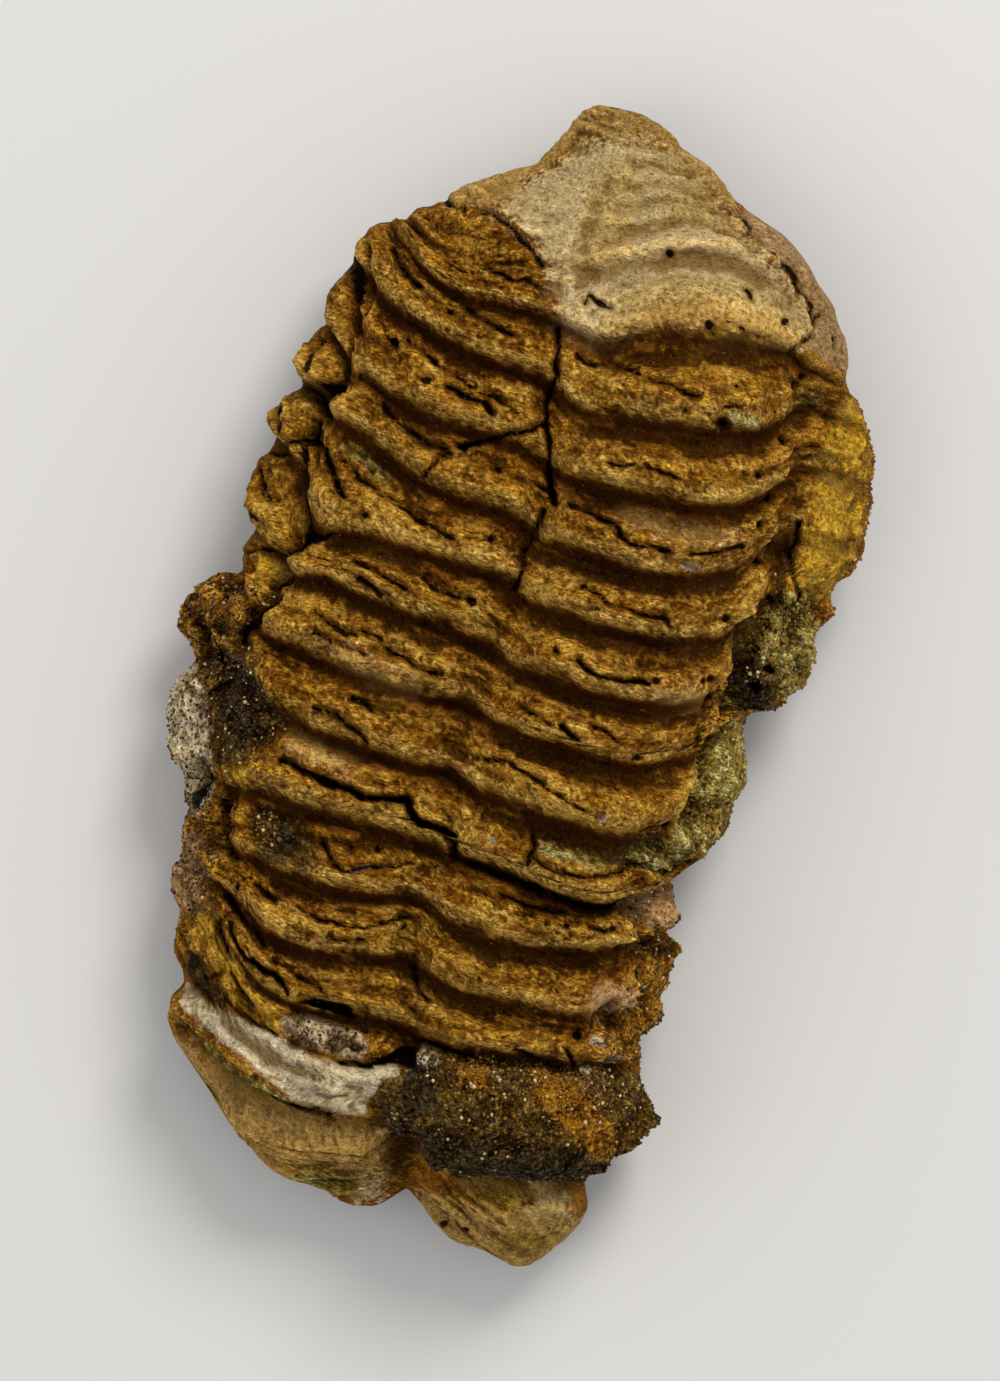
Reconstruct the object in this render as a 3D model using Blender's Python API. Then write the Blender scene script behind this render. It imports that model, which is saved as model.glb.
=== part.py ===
"""A fossil trilobite: one stone, the body with the rock that still clings to it.

Seen from above, the tail is at +Y and the head at -Y. The shape is written in
millimetres in the stone's own plan, then scaled to metres and set on the origin.
"""

import bpy
import numpy as np

MM = 0.001

# Plan of the stone seen from above: its edge down each side, from the tail tip to the
# notch between the two front lobes of the head
TAIL_TIP = (-2.6, 40.25)
HEAD_NOTCH = (1.0, -37.0)
RIGHT_EDGE = (
    (-0.5, 40.05), (1.2, 39.4), (2.6, 38.4), (3.9, 38.0), (5.1, 37.3), (6.2, 36.4), (7.0, 35.8),
    (9.0, 34.95), (10.4, 34.45), (12.5, 33.0), (13.9, 31.5), (15.2, 30.4), (15.75, 29.4),
    (16.6, 28.2), (17.2, 26.6), (17.2, 25.6), (18.3, 24.3), (19.4, 23.0), (20.4, 21.0),
    (20.9, 18.8), (21.25, 18.0), (21.2, 17.2), (21.35, 15.0), (21.4, 13.9), (20.9, 12.1),
    (20.3, 11.8), (20.0, 10.7), (20.5, 9.4), (19.7, 8.0), (19.65, 7.0), (19.85, 5.8),
    (19.7, 4.0), (18.7, 3.0), (18.6, 2.4), (17.9, 1.6), (17.1, 1.25), (16.4, 1.5),
    (16.15, 0.6), (16.4, -0.8), (17.0, -2.6), (17.3, -3.7), (17.1, -4.6), (16.9, -7.4),
    (16.3, -8.2), (15.7, -9.3), (14.2, -10.4), (13.4, -11.1), (14.1, -11.8), (14.5, -13.2),
    (14.6, -14.1), (14.3, -14.7), (15.0, -15.4), (15.8, -15.8), (15.4, -17.0), (15.5, -18.8),
    (15.3, -19.5), (15.75, -21.0), (15.0, -22.2), (14.45, -22.7), (14.7, -23.8), (15.2, -25.5),
    (16.1, -27.0), (16.8, -28.3), (16.3, -29.0), (15.6, -30.0), (14.1, -31.4), (13.9, -32.2),
    (13.0, -33.0), (13.3, -34.0), (13.75, -35.3), (13.2, -37.0), (12.3, -38.4), (11.2, -39.8),
    (10.0, -40.5), (8.6, -40.3), (7.5, -39.9), (5.2, -39.7), (3.6, -38.9), (2.2, -37.7),
)
LEFT_EDGE = (
    (-4.4, 40.0), (-5.3, 39.3), (-6.0, 37.9), (-7.0, 36.0), (-7.6, 34.95), (-8.6, 34.5),
    (-11.0, 33.1), (-12.0, 32.35), (-13.3, 31.0), (-13.9, 30.45), (-14.9, 29.95), (-15.2, 29.3),
    (-16.0, 28.95), (-17.4, 28.35), (-18.0, 27.2), (-18.5, 25.0), (-19.4, 22.5), (-19.15, 21.0),
    (-19.8, 19.5), (-20.15, 18.1), (-19.9, 16.0), (-20.6, 14.8), (-21.1, 13.4), (-20.65, 11.6),
    (-21.4, 10.0), (-21.5, 8.7), (-20.9, 7.0), (-20.5, 5.6), (-20.95, 4.0), (-20.8, 2.45),
    (-22.2, 2.1), (-23.2, 1.2), (-23.8, 0.0), (-24.25, -1.8), (-23.9, -2.8), (-22.9, -3.4),
    (-22.6, -4.5), (-23.3, -5.8), (-23.7, -7.2), (-23.3, -9.0), (-22.4, -11.2), (-21.2, -12.9),
    (-20.5, -14.5), (-20.2, -16.5), (-20.1, -18.2), (-20.4, -19.6), (-19.9, -20.9),
    (-19.1, -21.8), (-18.9, -23.4), (-18.8, -24.7), (-17.9, -26.0), (-17.7, -26.8),
    (-18.1, -27.6), (-18.2, -28.9), (-17.7, -30.4), (-16.3, -31.8), (-14.0, -33.7),
    (-12.4, -35.2), (-10.6, -36.6), (-8.5, -37.9), (-7.0, -38.35), (-4.2, -38.5),
    (-3.4, -38.95), (-2.2, -39.0), (-0.8, -38.7), (0.2, -37.9),
)

# Lines that cross the stone from left to right, tail first: where each stands along Y at
# the columns along X. The thirteen grooves between the segments are among them.
COLUMNS = (-24, -20.5, -18.5, -17, -15, -13, -10, -6, -3, -0.5, 1.0, 3, 7, 10, 12.5, 14, 15, 21)
TAIL_LINES = (
    (44, 43, 42, 41.5, 41, 40.8, 40.6, 40.4, 40.3, 40.35, 40.4, 40.5, 40.6, 40.4, 40, 39.6, 39.3, 37),
    (42, 41.2, 40.4, 40, 39.4, 38.8, 38.4, 38.2, 38.2, 38.2, 38.3, 38.4, 38.4, 38.2, 37.6, 37, 36.6, 34),
    (40, 39, 38.3, 37.6, 36.4, 35.6, 35.2, 35.2, 35.2, 35.3, 35.6, 36, 36.2, 35.8, 35, 34.2, 33.6, 31),
    (37, 36.2, 35.4, 34.6, 33.2, 32.2, 31.6, 31.8, 31.9, 32, 32.6, 33.5, 34.2, 33.6, 32.4, 31.4, 30.8, 28),
)
GROOVES = (
    (33, 32, 31.3, 30.2, 28.9, 27.9, 27.5, 28.2, 28.4, 28.4, 29.0, 30.2, 32, 31.7, 30.6, 29.6, 28.8, 26),
    (31, 30.4, 29.9, 29.2, 27.2, 25.6, 24.7, 24.6, 24.3, 23.6, 23.9, 24.8, 25.7, 26.1, 26.1, 25.8, 25.4, 24.2),
    (27, 25.8, 24.9, 24.3, 22.8, 21.9, 21.1, 20.5, 20.1, 18.9, 18.7, 18.8, 19.2, 19.7, 20.6, 22, 22.8, 22),
    (24, 22, 20.2, 17.8, 17.3, 16.3, 15.4, 15.5, 15, 14.1, 13.9, 13.8, 14, 14.4, 15.3, 16.7, 18.2, 19),
    (18, 16.6, 15.6, 14.2, 13.6, 12.6, 11.2, 10.6, 10.4, 9.2, 9.1, 9, 8.9, 9.3, 10.5, 12, 13.6, 14.5),
    (13, 11.9, 10.2, 7, 6.2, 6.6, 6.5, 6.2, 6, 4.9, 4.7, 4.6, 4.4, 4.6, 5.5, 6.7, 8, 9.5),
    (7.5, 5.9, 3.8, 2.8, 3, 2.7, 2.2, 1.7, 1.4, 0.3, 0.1, -0.1, -0.3, 0, 0.9, 2.1, 4, 5),
    (3.2, 1.6, -1.2, -1.9, -2.3, -2.7, -3, -3.2, -3.1, -4, -4.2, -4.4, -4.6, -4.1, -3, -1.8, -0.4, 1),
    (-4, -4.4, -5.4, -6.2, -6.9, -7.4, -7.8, -8.1, -8, -8.9, -9.1, -9.3, -9.5, -9.5, -8.2, -7.2, -6.3, -4),
    (-12, -12.2, -12.6, -12.7, -12.7, -12.9, -13.1, -12.9, -13.3, -13.6, -13.7, -14, -14.7, -14.3,
     -12.8, -11.6, -10.8, -9),
    (-14.1, -14.7, -15.9, -16.7, -17.1, -17.6, -17.9, -17.6, -17.1, -18.1, -18.4, -18.7, -18.3,
     -17.6, -16.5, -15.4, -14.9, -13.5),
    (-16, -17, -18.5, -19.3, -20.4, -21.8, -22.4, -22, -21.5, -22.2, -22.5, -22.7, -22.6, -22.2,
     -21.2, -20.4, -19.8, -18),
    (-18.4, -19.4, -20.5, -21.3, -23.4, -25.2, -26.3, -26.3, -26, -26.4, -26.6, -26.7, -25.9,
     -25.6, -25.2, -24.8, -24.3, -23),
)
HEAD_LINES = (
    (-22, -23, -24, -24.8, -26, -27.4, -28.7, -29.2, -28.9, -28.4, -28.4, -28.5, -28.2, -28, -27.8,
     -27.6, -27.4, -26),
    (-25.5, -26.6, -28, -29, -30.9, -32, -33, -33.1, -32.9, -33.2, -33.3, -33.4, -33.6, -33.5, -33,
     -32.5, -32, -30),
    (-29, -30.3, -31.4, -32.3, -33.8, -35.2, -36.6, -36.8, -36.2, -35.5, -35.2, -35.5, -36.9,
     -37.3, -36.6, -35.8, -35.2, -33),
    (-33, -34.4, -35.6, -36.6, -38, -38.8, -39.4, -39, -38.1, -36.9, -36.2, -36.7, -39, -40,
     -40.2, -40, -39.6, -37),
    (-41, -42, -43, -43.5, -44, -44, -43.6, -42.5, -41, -38.8, -37.1, -39.2, -42.5, -43.5, -44,
     -44, -44, -43),
)
FIRST_GROOVE = len(TAIL_LINES)

# Height of the back before its edges roll down, at crossings of these Y and X lines
HEIGHT_ROWS = (40, 36, 30, 22, 10, -4, -16, -25, -31, -33.4, -35.4, -40)
HEIGHT_COLUMNS = (-24, -20, -16, -10, -5, -2, 2, 6, 10, 13, 16, 21)
HEIGHTS = (
    (8, 8, 8, 9, 10, 11, 11, 10.5, 10, 9, 8, 7),
    (9, 9, 9, 10, 11, 13.5, 14.5, 14, 12.5, 10.5, 9, 8),
    (10, 11, 13, 14.5, 15.5, 16.6, 18.2, 18.6, 16.8, 13.6, 11, 9),
    (11, 13, 15.6, 17, 17.4, 17.8, 20.6, 21.8, 20.4, 17.2, 13.2, 10.5),
    (11, 13.2, 16.2, 18.2, 18.4, 18.4, 21.8, 23.2, 21.5, 18.2, 13.6, 10.5),
    (9.5, 12.6, 16.2, 18.4, 18.6, 18.5, 21.8, 23.2, 21.4, 17.8, 13.8, 10),
    (9, 12, 15.2, 17.7, 18.1, 18.0, 21.0, 22.2, 20.2, 16.4, 12.6, 9),
    (8, 10.5, 13.4, 15.8, 16.6, 16.8, 18.9, 19.8, 18.2, 15, 11.5, 8),
    (7, 9.5, 12.4, 14.8, 15.2, 14.8, 16.6, 17.4, 16, 13.2, 10, 7),
    (6.5, 8, 10.6, 13.2, 13.8, 13, 15.2, 15.8, 14.4, 11.8, 9.2, 7),
    (6, 7.5, 8.8, 10.4, 10.8, 9.6, 10.2, 11, 11, 10, 8.5, 7),
    (5, 6, 6.6, 7.4, 7.8, 7.2, 7.2, 8.4, 8.6, 8, 7, 6),
)

# The widest line round the stone, and how far from the edge its back and belly curve
RIM_Y = (-40, -30, -10, 10, 30, 40)
RIM_HEIGHT = (4.6, 5.2, 6.4, 7.0, 7.2, 6.8)
BACK_ROLL_X = (-22, -10, 0, 12, 21)
BACK_ROLL = (6.2, 5.6, 4.4, 3.4, 3.0)
BELLY_ROLL = 12.5
BELLY_LUMP = 0.55
BELLY_LUMP_LENGTH = 7.0

# Section of one segment along the body, from the groove behind it to the groove in front
SECTION_PLACES = (0, 0.1, 0.22, 0.34, 0.5, 0.66, 0.76, 0.86, 0.94, 1)
PLEURA_SECTION = (-1, -0.72, -0.1, 0.28, 0.52, 0.88, 0.95, 0.62, -0.35, -1)
RING_SECTION = (-1, -0.92, -0.7, 0.0, 0.75, 0.96, 0.92, 0.55, -0.5, -1)
RING_FROM_X, RING_FULL_X = -2.4, 0.6
# How high the segments stand, at the same columns as the heights, and along the body
RELIEF_AT_COLUMNS = (0.3, 0.75, 0.9, 1.0, 1.0, 0.8, 1.15, 1.25, 1.15, 0.9, 0.3, 0.15)
RELIEF_LINES = (0, 3, 4, 5, 6, 9, 14, 15, 16, 16.4, 17, 21)
RELIEF_ALONG = (0, 0.1, 0.3, 0.9, 1.05, 1.1, 1.05, 0.95, 0.8, 0.3, 0, 0)

# Furrows, cracks and clefts: their course, half width, depth and how soft the walls are
AXIAL_FURROW = ((-4.2, 26), (-3, 22), (-2.6, 17), (-1.3, 12.5), (-1.9, 7), (-2.6, 2), (-3, -4),
                (-3, -12), (-3.4, -18), (-2.4, -22), (-1.6, -26))
RIGHT_FOLD = ((13.4, 26.2), (14.6, 23), (15, 19.5), (15.5, 16), (15.8, 13))
RIGHT_CLEFT = ((15.9, 12.5), (15.9, 9.4), (15.2, 7), (15.1, 3.4), (14.9, 0), (14.8, -3), (14.2, -7.4))
LEFT_CLEFT = ((-17.3, 26), (-17.2, 21.5), (-17.1, 17), (-18.1, 15), (-18, 11.5), (-17.8, 8.2),
              (-16.6, 6.3), (-18, 4.2), (-18.7, 0), (-19.4, -2.6))
WIDE_CRACK = ((-14.6, -9.9), (-12.5, -10.4), (-10, -10.7), (-8, -11), (-5.6, -10.4), (-4.7, -11.7),
              (-2.2, -12), (-1.3, -13.3), (0.5, -13.65), (4, -14), (8, -14.7), (10, -14.2), (11.8, -13.2))
FRONT_CLEFT = ((-1.6, -34), (1, -35), (4, -35.5), (8, -35.3), (11.4, -34.2))
LOBE_CLEFT = ((0.2, -33.8), (0.6, -35.6), (1.0, -38))
CHEEK_FURROW = ((-17, -30), (-15, -31.6), (-12.6, -33), (-9.6, -33.5), (-5, -33.4), (-2, -33.2))
CHEEK_RIM = ((-16.9, -28.6), (-14, -30.1), (-11.5, -31.6), (-9, -32.7))
CHEEK_STEP = ((-15.5, -26.8), (-12.5, -28.2), (-9, -28.9), (-5, -29.1), (-3, -28.9), (-1, -27.6))
OCCIPITAL_FURROW = ((-9, -26.2), (-5, -26.2), (-1.6, -26.4), (3, -26.8), (8.6, -25.8))

# Lumps and hollows: middle, half lengths, turn in degrees and height
LUMPS = (
    ((-21.6, -0.4), (2.8, 3.2), 0, 1.6),      # knob on the left edge
    ((-21.3, 0.9), (1.7, 1.1), 20, -1.6),     # its two hollows
    ((-21.0, -1.9), (1.3, 0.9), -20, -1.3),
    ((18.4, 14.0), (2.6, 4.5), 0, 1.3),       # yellow rock on the right edge
    ((18.6, 21.0), (2.4, 3.4), 20, 0.9),
    ((18.0, 5.4), (1.9, 2.6), 0, 1.1),
    ((-18.8, 18.3), (2.2, 3.4), 0, 0.45),     # plates along the left edge
    ((-19.3, 13.3), (2.4, 3.2), 0, 0.45),
    ((-19.2, 7.4), (2.6, 4.8), 0, 0.5),
    ((-8.5, -36.0), (6.5, 2.4), -22, 1.0),    # front lobe of the cheek
    ((7.8, -37.2), (5.6, 2.4), 5, 1.3),       # front lobe of the glabella
    ((12.0, 31.6), (5.0, 2.6), -42, 0.5),     # smooth lobe of the tail
    ((9.5, 20.6), (1.3, 0.8), 0, -1.3),       # open hollow in the third ring
    ((-5.4, 37.4), (1.5, 2.0), -30, -0.9),
    ((7.6, -22.6), (4.6, 1.6), 4, 0.8),       # worn stretch that fills the last grooves
    ((6.5, -25.4), (4.0, 1.2), 4, 0.7),
)

# The glabella, a swollen lump of dark sand that stands out of the head
GLABELLA = ((-1.0, -26.9), (1, -26.5), (3, -26.2), (6, -25.9), (9, -25.7), (12, -25.1), (14.8, -25.2),
            (17.2, -28.2), (15.9, -30), (13.9, -32.4), (12.5, -33.6), (10, -34.4), (7, -35.1),
            (3, -35.2), (1, -34.8), (-0.5, -33.8), (-1.8, -32.8), (-3, -31), (-1.7, -29.3))
GLABELLA_RISE = 1.5
GLABELLA_SHOULDER = 3.2

FLOOR_CLEARANCE = 0.45     # lowest that a furrow may cut into the stone, above the floor

# Mesh
ROWS_PER_SEGMENT = (0, 0.14, 0.3, 0.5, 0.7, 0.84, 0.93)
TAIL_ROWS = 15
HEAD_ROWS = 21
BACK_COLUMNS = 31
BELLY_COLUMNS = 12
EDGE_CROWDING = 0.45       # 0 spreads the columns evenly, 1 draws them to the edges

STONE_COLOUR = (0.33, 0.19, 0.055, 1)
STONE_ROUGHNESS = 0.85


def spline(keys, values, places):
    """Smooth values at the places, through rows of values that stand at rising keys."""
    keys = np.asarray(keys, float)
    values = np.asarray(values, float)
    places = np.clip(places, keys[0], keys[-1])
    slopes = np.diff(values, axis=0) / np.diff(keys).reshape((-1,) + (1,) * (values.ndim - 1))
    tangents = np.concatenate([slopes[:1], (slopes[1:] + slopes[:-1]) / 2, slopes[-1:]])
    at = np.clip(np.searchsorted(keys, places, side="right") - 1, 0, len(keys) - 2)
    span = keys[at + 1] - keys[at]
    t = (places - keys[at]) / span
    shape = t.shape + (1,) * (values.ndim - 1)
    t, span = t.reshape(shape), span.reshape(shape)
    start = (1 + 2 * t) * (1 - t) ** 2 * values[at] + t * (1 - t) ** 2 * span * tangents[at]
    end = t * t * (3 - 2 * t) * values[at + 1] + t * t * (t - 1) * span * tangents[at + 1]
    return start + end


def smoothstep(low, high, value):
    t = np.clip((value - low) / (high - low), 0, 1)
    return t * t * (3 - 2 * t)


def rounded(points, step):
    """A closed smooth line through the points, with a point about every step."""
    points = np.asarray(points, float)
    around = np.vstack([points[-2:], points, points[:3]])
    keys = np.concatenate([[0], np.cumsum(np.linalg.norm(np.diff(around, axis=0), axis=1))])
    first, last = keys[2], keys[2 + len(points)]
    places = np.linspace(first, last, int((last - first) / step), endpoint=False)
    return spline(keys, around, places)


def distance_to(line, x, y):
    """How far each point is from a line of straight runs."""
    line = np.asarray(line, float)
    nearest = np.full(np.shape(x), np.inf)
    for (ax, ay), (bx, by) in zip(line[:-1], line[1:]):
        along_x, along_y = bx - ax, by - ay
        length = max(along_x**2 + along_y**2, 1e-12)
        t = np.clip(((x - ax) * along_x + (y - ay) * along_y) / length, 0, 1)
        nearest = np.minimum(nearest, np.hypot(x - ax - t * along_x, y - ay - t * along_y))
    return nearest


def inside(outline, x, y):
    """Whether each point is inside a closed outline."""
    crossings = np.zeros(np.shape(x), int)
    for (ax, ay), (bx, by) in zip(outline, np.roll(outline, -1, axis=0)):
        spans = (ay > y) != (by > y)
        if ay != by:
            crossings += spans & (x < ax + (y - ay) * (bx - ax) / (by - ay))
    return crossings % 2 == 1


def lines_across():
    return np.array(TAIL_LINES + GROOVES + HEAD_LINES, float)


def line_places():
    """Where the mesh's rows stand, counted in lines across the stone, tail to head."""
    last = len(lines_across()) - 1
    tail = FIRST_GROOVE * (1 - np.cos(np.linspace(0, np.pi / 2, TAIL_ROWS + 1)[1:-1]))
    segments = [k + place for k in range(FIRST_GROOVE, FIRST_GROOVE + len(GROOVES) - 1)
                for place in ROWS_PER_SEGMENT]
    head_start = FIRST_GROOVE + len(GROOVES) - 1
    head = head_start + (last - head_start) * np.sin(np.linspace(0, np.pi / 2, HEAD_ROWS + 1)[:-1])
    return np.concatenate([tail, segments, head])


def reach(curve, outline, centre, side):
    """The X at which each row's curve leaves the outline, going from the centre to one side."""
    far = np.linspace(0, 1, 160)[1:]
    limit = COLUMNS[0] - 1 if side < 0 else COLUMNS[-1] + 1
    x = centre[:, None] + (limit - centre[:, None]) * far
    within = inside(outline, x, curve(x))
    first_out = np.argmin(within, axis=1)
    rows = np.arange(len(centre))
    low = np.where(first_out > 0, x[rows, first_out - 1], centre)
    high = x[rows, first_out]
    for _ in range(14):
        middle = (low + high) / 2
        is_in = inside(outline, middle, curve(middle[:, None])[:, 0])
        low, high = np.where(is_in, middle, low), np.where(is_in, high, middle)
    return low


def plan_rows(outline):
    """X and Y of the back's mesh points in plan: one row for each line place."""
    places = line_places()
    table = spline(np.arange(len(lines_across())), lines_across(), places)

    def curve(x):
        return np.array([spline(COLUMNS, row, line_x) for row, line_x in zip(table, x)])

    along = places / places[-1]
    centre = TAIL_TIP[0] + (HEAD_NOTCH[0] - TAIL_TIP[0]) * along
    left = reach(curve, outline, centre, -1)
    right = reach(curve, outline, centre, 1)
    even = np.linspace(0, 1, BACK_COLUMNS)
    crowded = (1 - np.cos(np.pi * even)) / 2
    share = even + EDGE_CROWDING * (crowded - even)
    x = left[:, None] + (right - left)[:, None] * share
    return x, curve(x), places


def grid_height(x, y):
    """Height of the back before its edges roll down."""
    rows = spline(HEIGHT_ROWS[::-1], np.array(HEIGHTS, float)[::-1], np.ravel(y))
    flat_x = np.clip(np.ravel(x), HEIGHT_COLUMNS[0], HEIGHT_COLUMNS[-1])
    heights = np.empty(len(rows))
    for column in range(len(HEIGHT_COLUMNS) - 1):
        low, high = HEIGHT_COLUMNS[column], HEIGHT_COLUMNS[column + 1]
        here = (flat_x >= low) & (flat_x <= high)
        t = smoothstep(low, high, flat_x[here]) * 0.5 + (flat_x[here] - low) / (high - low) * 0.5
        heights[here] = rows[here, column] * (1 - t) + rows[here, column + 1] * t
    return heights.reshape(np.shape(x))


def segment_relief(x, places):
    """How far the segments stand up or dip, by where a point is between two grooves."""
    t = places - np.floor(places)
    pleura = spline(SECTION_PLACES, PLEURA_SECTION, t)
    ring = spline(SECTION_PLACES, RING_SECTION, t)
    on_ring = smoothstep(RING_FROM_X, RING_FULL_X, x)
    across = np.interp(x, HEIGHT_COLUMNS, RELIEF_AT_COLUMNS)
    along = np.interp(places, RELIEF_LINES, RELIEF_ALONG)
    return (pleura + on_ring * (ring - pleura)) * across * along


def trench(x, y, course, half_width, depth, wall):
    away = distance_to(course, x, y)
    return -depth * (1 - smoothstep(half_width, half_width + wall, away))


def lump(x, y, middle, half_lengths, turn, height):
    angle = np.radians(turn)
    dx, dy = x - middle[0], y - middle[1]
    along = (dx * np.cos(angle) + dy * np.sin(angle)) / half_lengths[0]
    across = (dy * np.cos(angle) - dx * np.sin(angle)) / half_lengths[1]
    return height * (1 - smoothstep(0, 1, np.hypot(along, across)))


def furrow_relief(x, y):
    relief = trench(x, y, AXIAL_FURROW, 0.2, 0.8, 1.6)
    relief += trench(x, y, RIGHT_FOLD, 0.2, 0.6, 1.1)
    relief += trench(x, y, RIGHT_CLEFT, 0.3, 1.6, 0.9)
    relief += trench(x, y, LEFT_CLEFT, 0.2, 1.3, 0.9)
    relief += trench(x, y, WIDE_CRACK, 0.15, 1.6, 0.6)
    relief += trench(x, y, FRONT_CLEFT, 0.3, 1.0, 1.2)
    relief += trench(x, y, LOBE_CLEFT, 0.3, 2.0, 1.7)
    relief += trench(x, y, CHEEK_FURROW, 0.3, 1.4, 1.0)
    relief -= trench(x, y, CHEEK_RIM, 0.2, 0.7, 0.9)
    relief += trench(x, y, CHEEK_STEP, 0.2, 0.6, 0.8)
    relief += trench(x, y, OCCIPITAL_FURROW, 0.3, 1.1, 1.0)
    for middle, half_lengths, turn, height in LUMPS:
        relief += lump(x, y, middle, half_lengths, turn, height)
    return relief + glabella_dome(x, y)


def roll(share):
    """From 0 at the edge to 1 where the surface has turned level, like a quarter circle."""
    return np.sqrt(1 - (1 - np.clip(share, 0, 1)) ** 2)


def glabella_dome(x, y):
    away = distance_to(GLABELLA + GLABELLA[:1], x, y)
    return GLABELLA_RISE * roll(np.where(inside(np.array(GLABELLA), x, y), away, 0) / GLABELLA_SHOULDER)


def normals(points):
    down = np.gradient(points, axis=0)
    across = np.gradient(points, axis=1)
    upward = np.cross(down, across)
    return upward / np.maximum(np.linalg.norm(upward, axis=2, keepdims=True), 1e-9)


def back_surface(x, y, places, outline_loop):
    edge = distance_to(outline_loop, x, y)
    rim = np.interp(y, RIM_Y, RIM_HEIGHT)
    radius = np.interp(x, BACK_ROLL_X, BACK_ROLL)
    smooth = rim + (grid_height(x, y) - rim) * roll(edge / radius)
    points = np.dstack([x, y, smooth])
    relief = segment_relief(x, places[:, None] + np.zeros_like(x)) + furrow_relief(x, y)
    relief *= smoothstep(0, 1.2, edge)
    upward = normals(points)
    steep = smoothstep(0.3, 0.6, 1 - upward[..., 2:3])
    direction = steep * upward + (1 - steep) * np.array([0, 0, 1.0])
    points = points + relief[..., None] * direction
    points[..., 2] = np.maximum(points[..., 2], FLOOR_CLEARANCE)
    return points


def belly_surface(x, y, outline_loop):
    edge = distance_to(outline_loop, x, y)
    rim = np.interp(y, RIM_Y, RIM_HEIGHT)
    turned = roll(edge / BELLY_ROLL)
    wave = np.sin(x * 2 * np.pi / BELLY_LUMP_LENGTH + 0.9 * np.sin(y * 0.31))
    wave *= np.cos(y * 2 * np.pi / BELLY_LUMP_LENGTH + 1.1 * np.sin(x * 0.27))
    lumps = BELLY_LUMP * (wave + 1) * smoothstep(0, 2, edge) * (1 - smoothstep(0.93, 1, turned))
    return np.dstack([x, y, rim * (1 - turned) + lumps])


def ring_points():
    """The mesh's rings of points: over the back left to right, then home under the belly."""
    outline = rounded([TAIL_TIP, *RIGHT_EDGE, HEAD_NOTCH, *LEFT_EDGE[::-1]], 0.25)
    outline_loop = np.vstack([outline, outline[:1]])
    x, y, places = plan_rows(outline)
    back = back_surface(x, y, places, outline_loop)
    share = np.linspace(1, 0, BELLY_COLUMNS + 2)[1:-1] * (BACK_COLUMNS - 1)
    under_x = np.array([np.interp(share, np.arange(BACK_COLUMNS), row) for row in x])
    under_y = np.array([np.interp(share, np.arange(BACK_COLUMNS), row) for row in y])
    belly = belly_surface(under_x, under_y, outline_loop)
    return np.concatenate([back, belly], axis=1)


def stone_mesh():
    rings = ring_points()
    rows, around = rings.shape[:2]
    poles = np.array([(*TAIL_TIP, RIM_HEIGHT[-1]), (*HEAD_NOTCH, RIM_HEIGHT[0])])
    points = np.vstack([rings.reshape(-1, 3), poles])
    tail_pole, head_pole = rows * around, rows * around + 1
    faces = []
    for place in range(around):
        beside = (place + 1) % around
        faces.append((tail_pole, place, beside))
        faces.append((head_pole, (rows - 1) * around + beside, (rows - 1) * around + place))
    for row in range(rows - 1):
        for place in range(around):
            beside = (place + 1) % around
            near, far = row * around, (row + 1) * around
            faces.append((near + place, far + place, far + beside, near + beside))
    middle = (points.min(axis=0) + points.max(axis=0)) / 2
    points[:, :2] -= middle[:2]
    mesh = bpy.data.meshes.new("trilobite")
    mesh.from_pydata((points * MM).tolist(), [], faces)
    mesh.validate()
    return mesh


def stone_material():
    material = bpy.data.materials.new("ochre_stone")
    material.use_nodes = True
    shader = material.node_tree.nodes["Principled BSDF"]
    shader.inputs["Base Color"].default_value = STONE_COLOUR
    shader.inputs["Roughness"].default_value = STONE_ROUGHNESS
    shader.inputs["Metallic"].default_value = 0
    return material


def main():
    for leftover in list(bpy.data.objects):
        bpy.data.objects.remove(leftover, do_unlink=True)
    mesh = stone_mesh()
    mesh.materials.append(stone_material())
    trilobite = bpy.data.objects.new("trilobite", mesh)
    bpy.context.scene.collection.objects.link(trilobite)


main()
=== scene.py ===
"""The looks of a fossil trilobite: one ochre stone, its cracks, furrows, crust and colours.

Seen from above, the tail is at +Y and the head at -Y. Places are in millimetres in the
stone's own plan, as in the part, and are set on the part's box at the end.
"""

import bpy
import math
import numpy as np
from itertools import combinations
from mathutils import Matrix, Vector, kdtree, noise
from types import SimpleNamespace


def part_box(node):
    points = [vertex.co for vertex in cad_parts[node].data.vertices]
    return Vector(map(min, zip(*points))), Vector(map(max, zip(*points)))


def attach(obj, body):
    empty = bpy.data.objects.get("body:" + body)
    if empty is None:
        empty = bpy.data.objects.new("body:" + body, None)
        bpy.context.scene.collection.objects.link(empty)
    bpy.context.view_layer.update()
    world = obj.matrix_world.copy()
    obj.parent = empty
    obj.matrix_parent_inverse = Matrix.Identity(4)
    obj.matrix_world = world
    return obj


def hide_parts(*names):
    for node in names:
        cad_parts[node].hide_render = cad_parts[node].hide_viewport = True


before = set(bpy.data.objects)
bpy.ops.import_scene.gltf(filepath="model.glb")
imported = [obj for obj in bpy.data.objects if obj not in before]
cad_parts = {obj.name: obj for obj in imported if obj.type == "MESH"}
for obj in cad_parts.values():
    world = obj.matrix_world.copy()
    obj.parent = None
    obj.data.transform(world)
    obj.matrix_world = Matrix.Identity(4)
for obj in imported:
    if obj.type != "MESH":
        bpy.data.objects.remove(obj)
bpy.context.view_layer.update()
MM = 0.001

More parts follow.
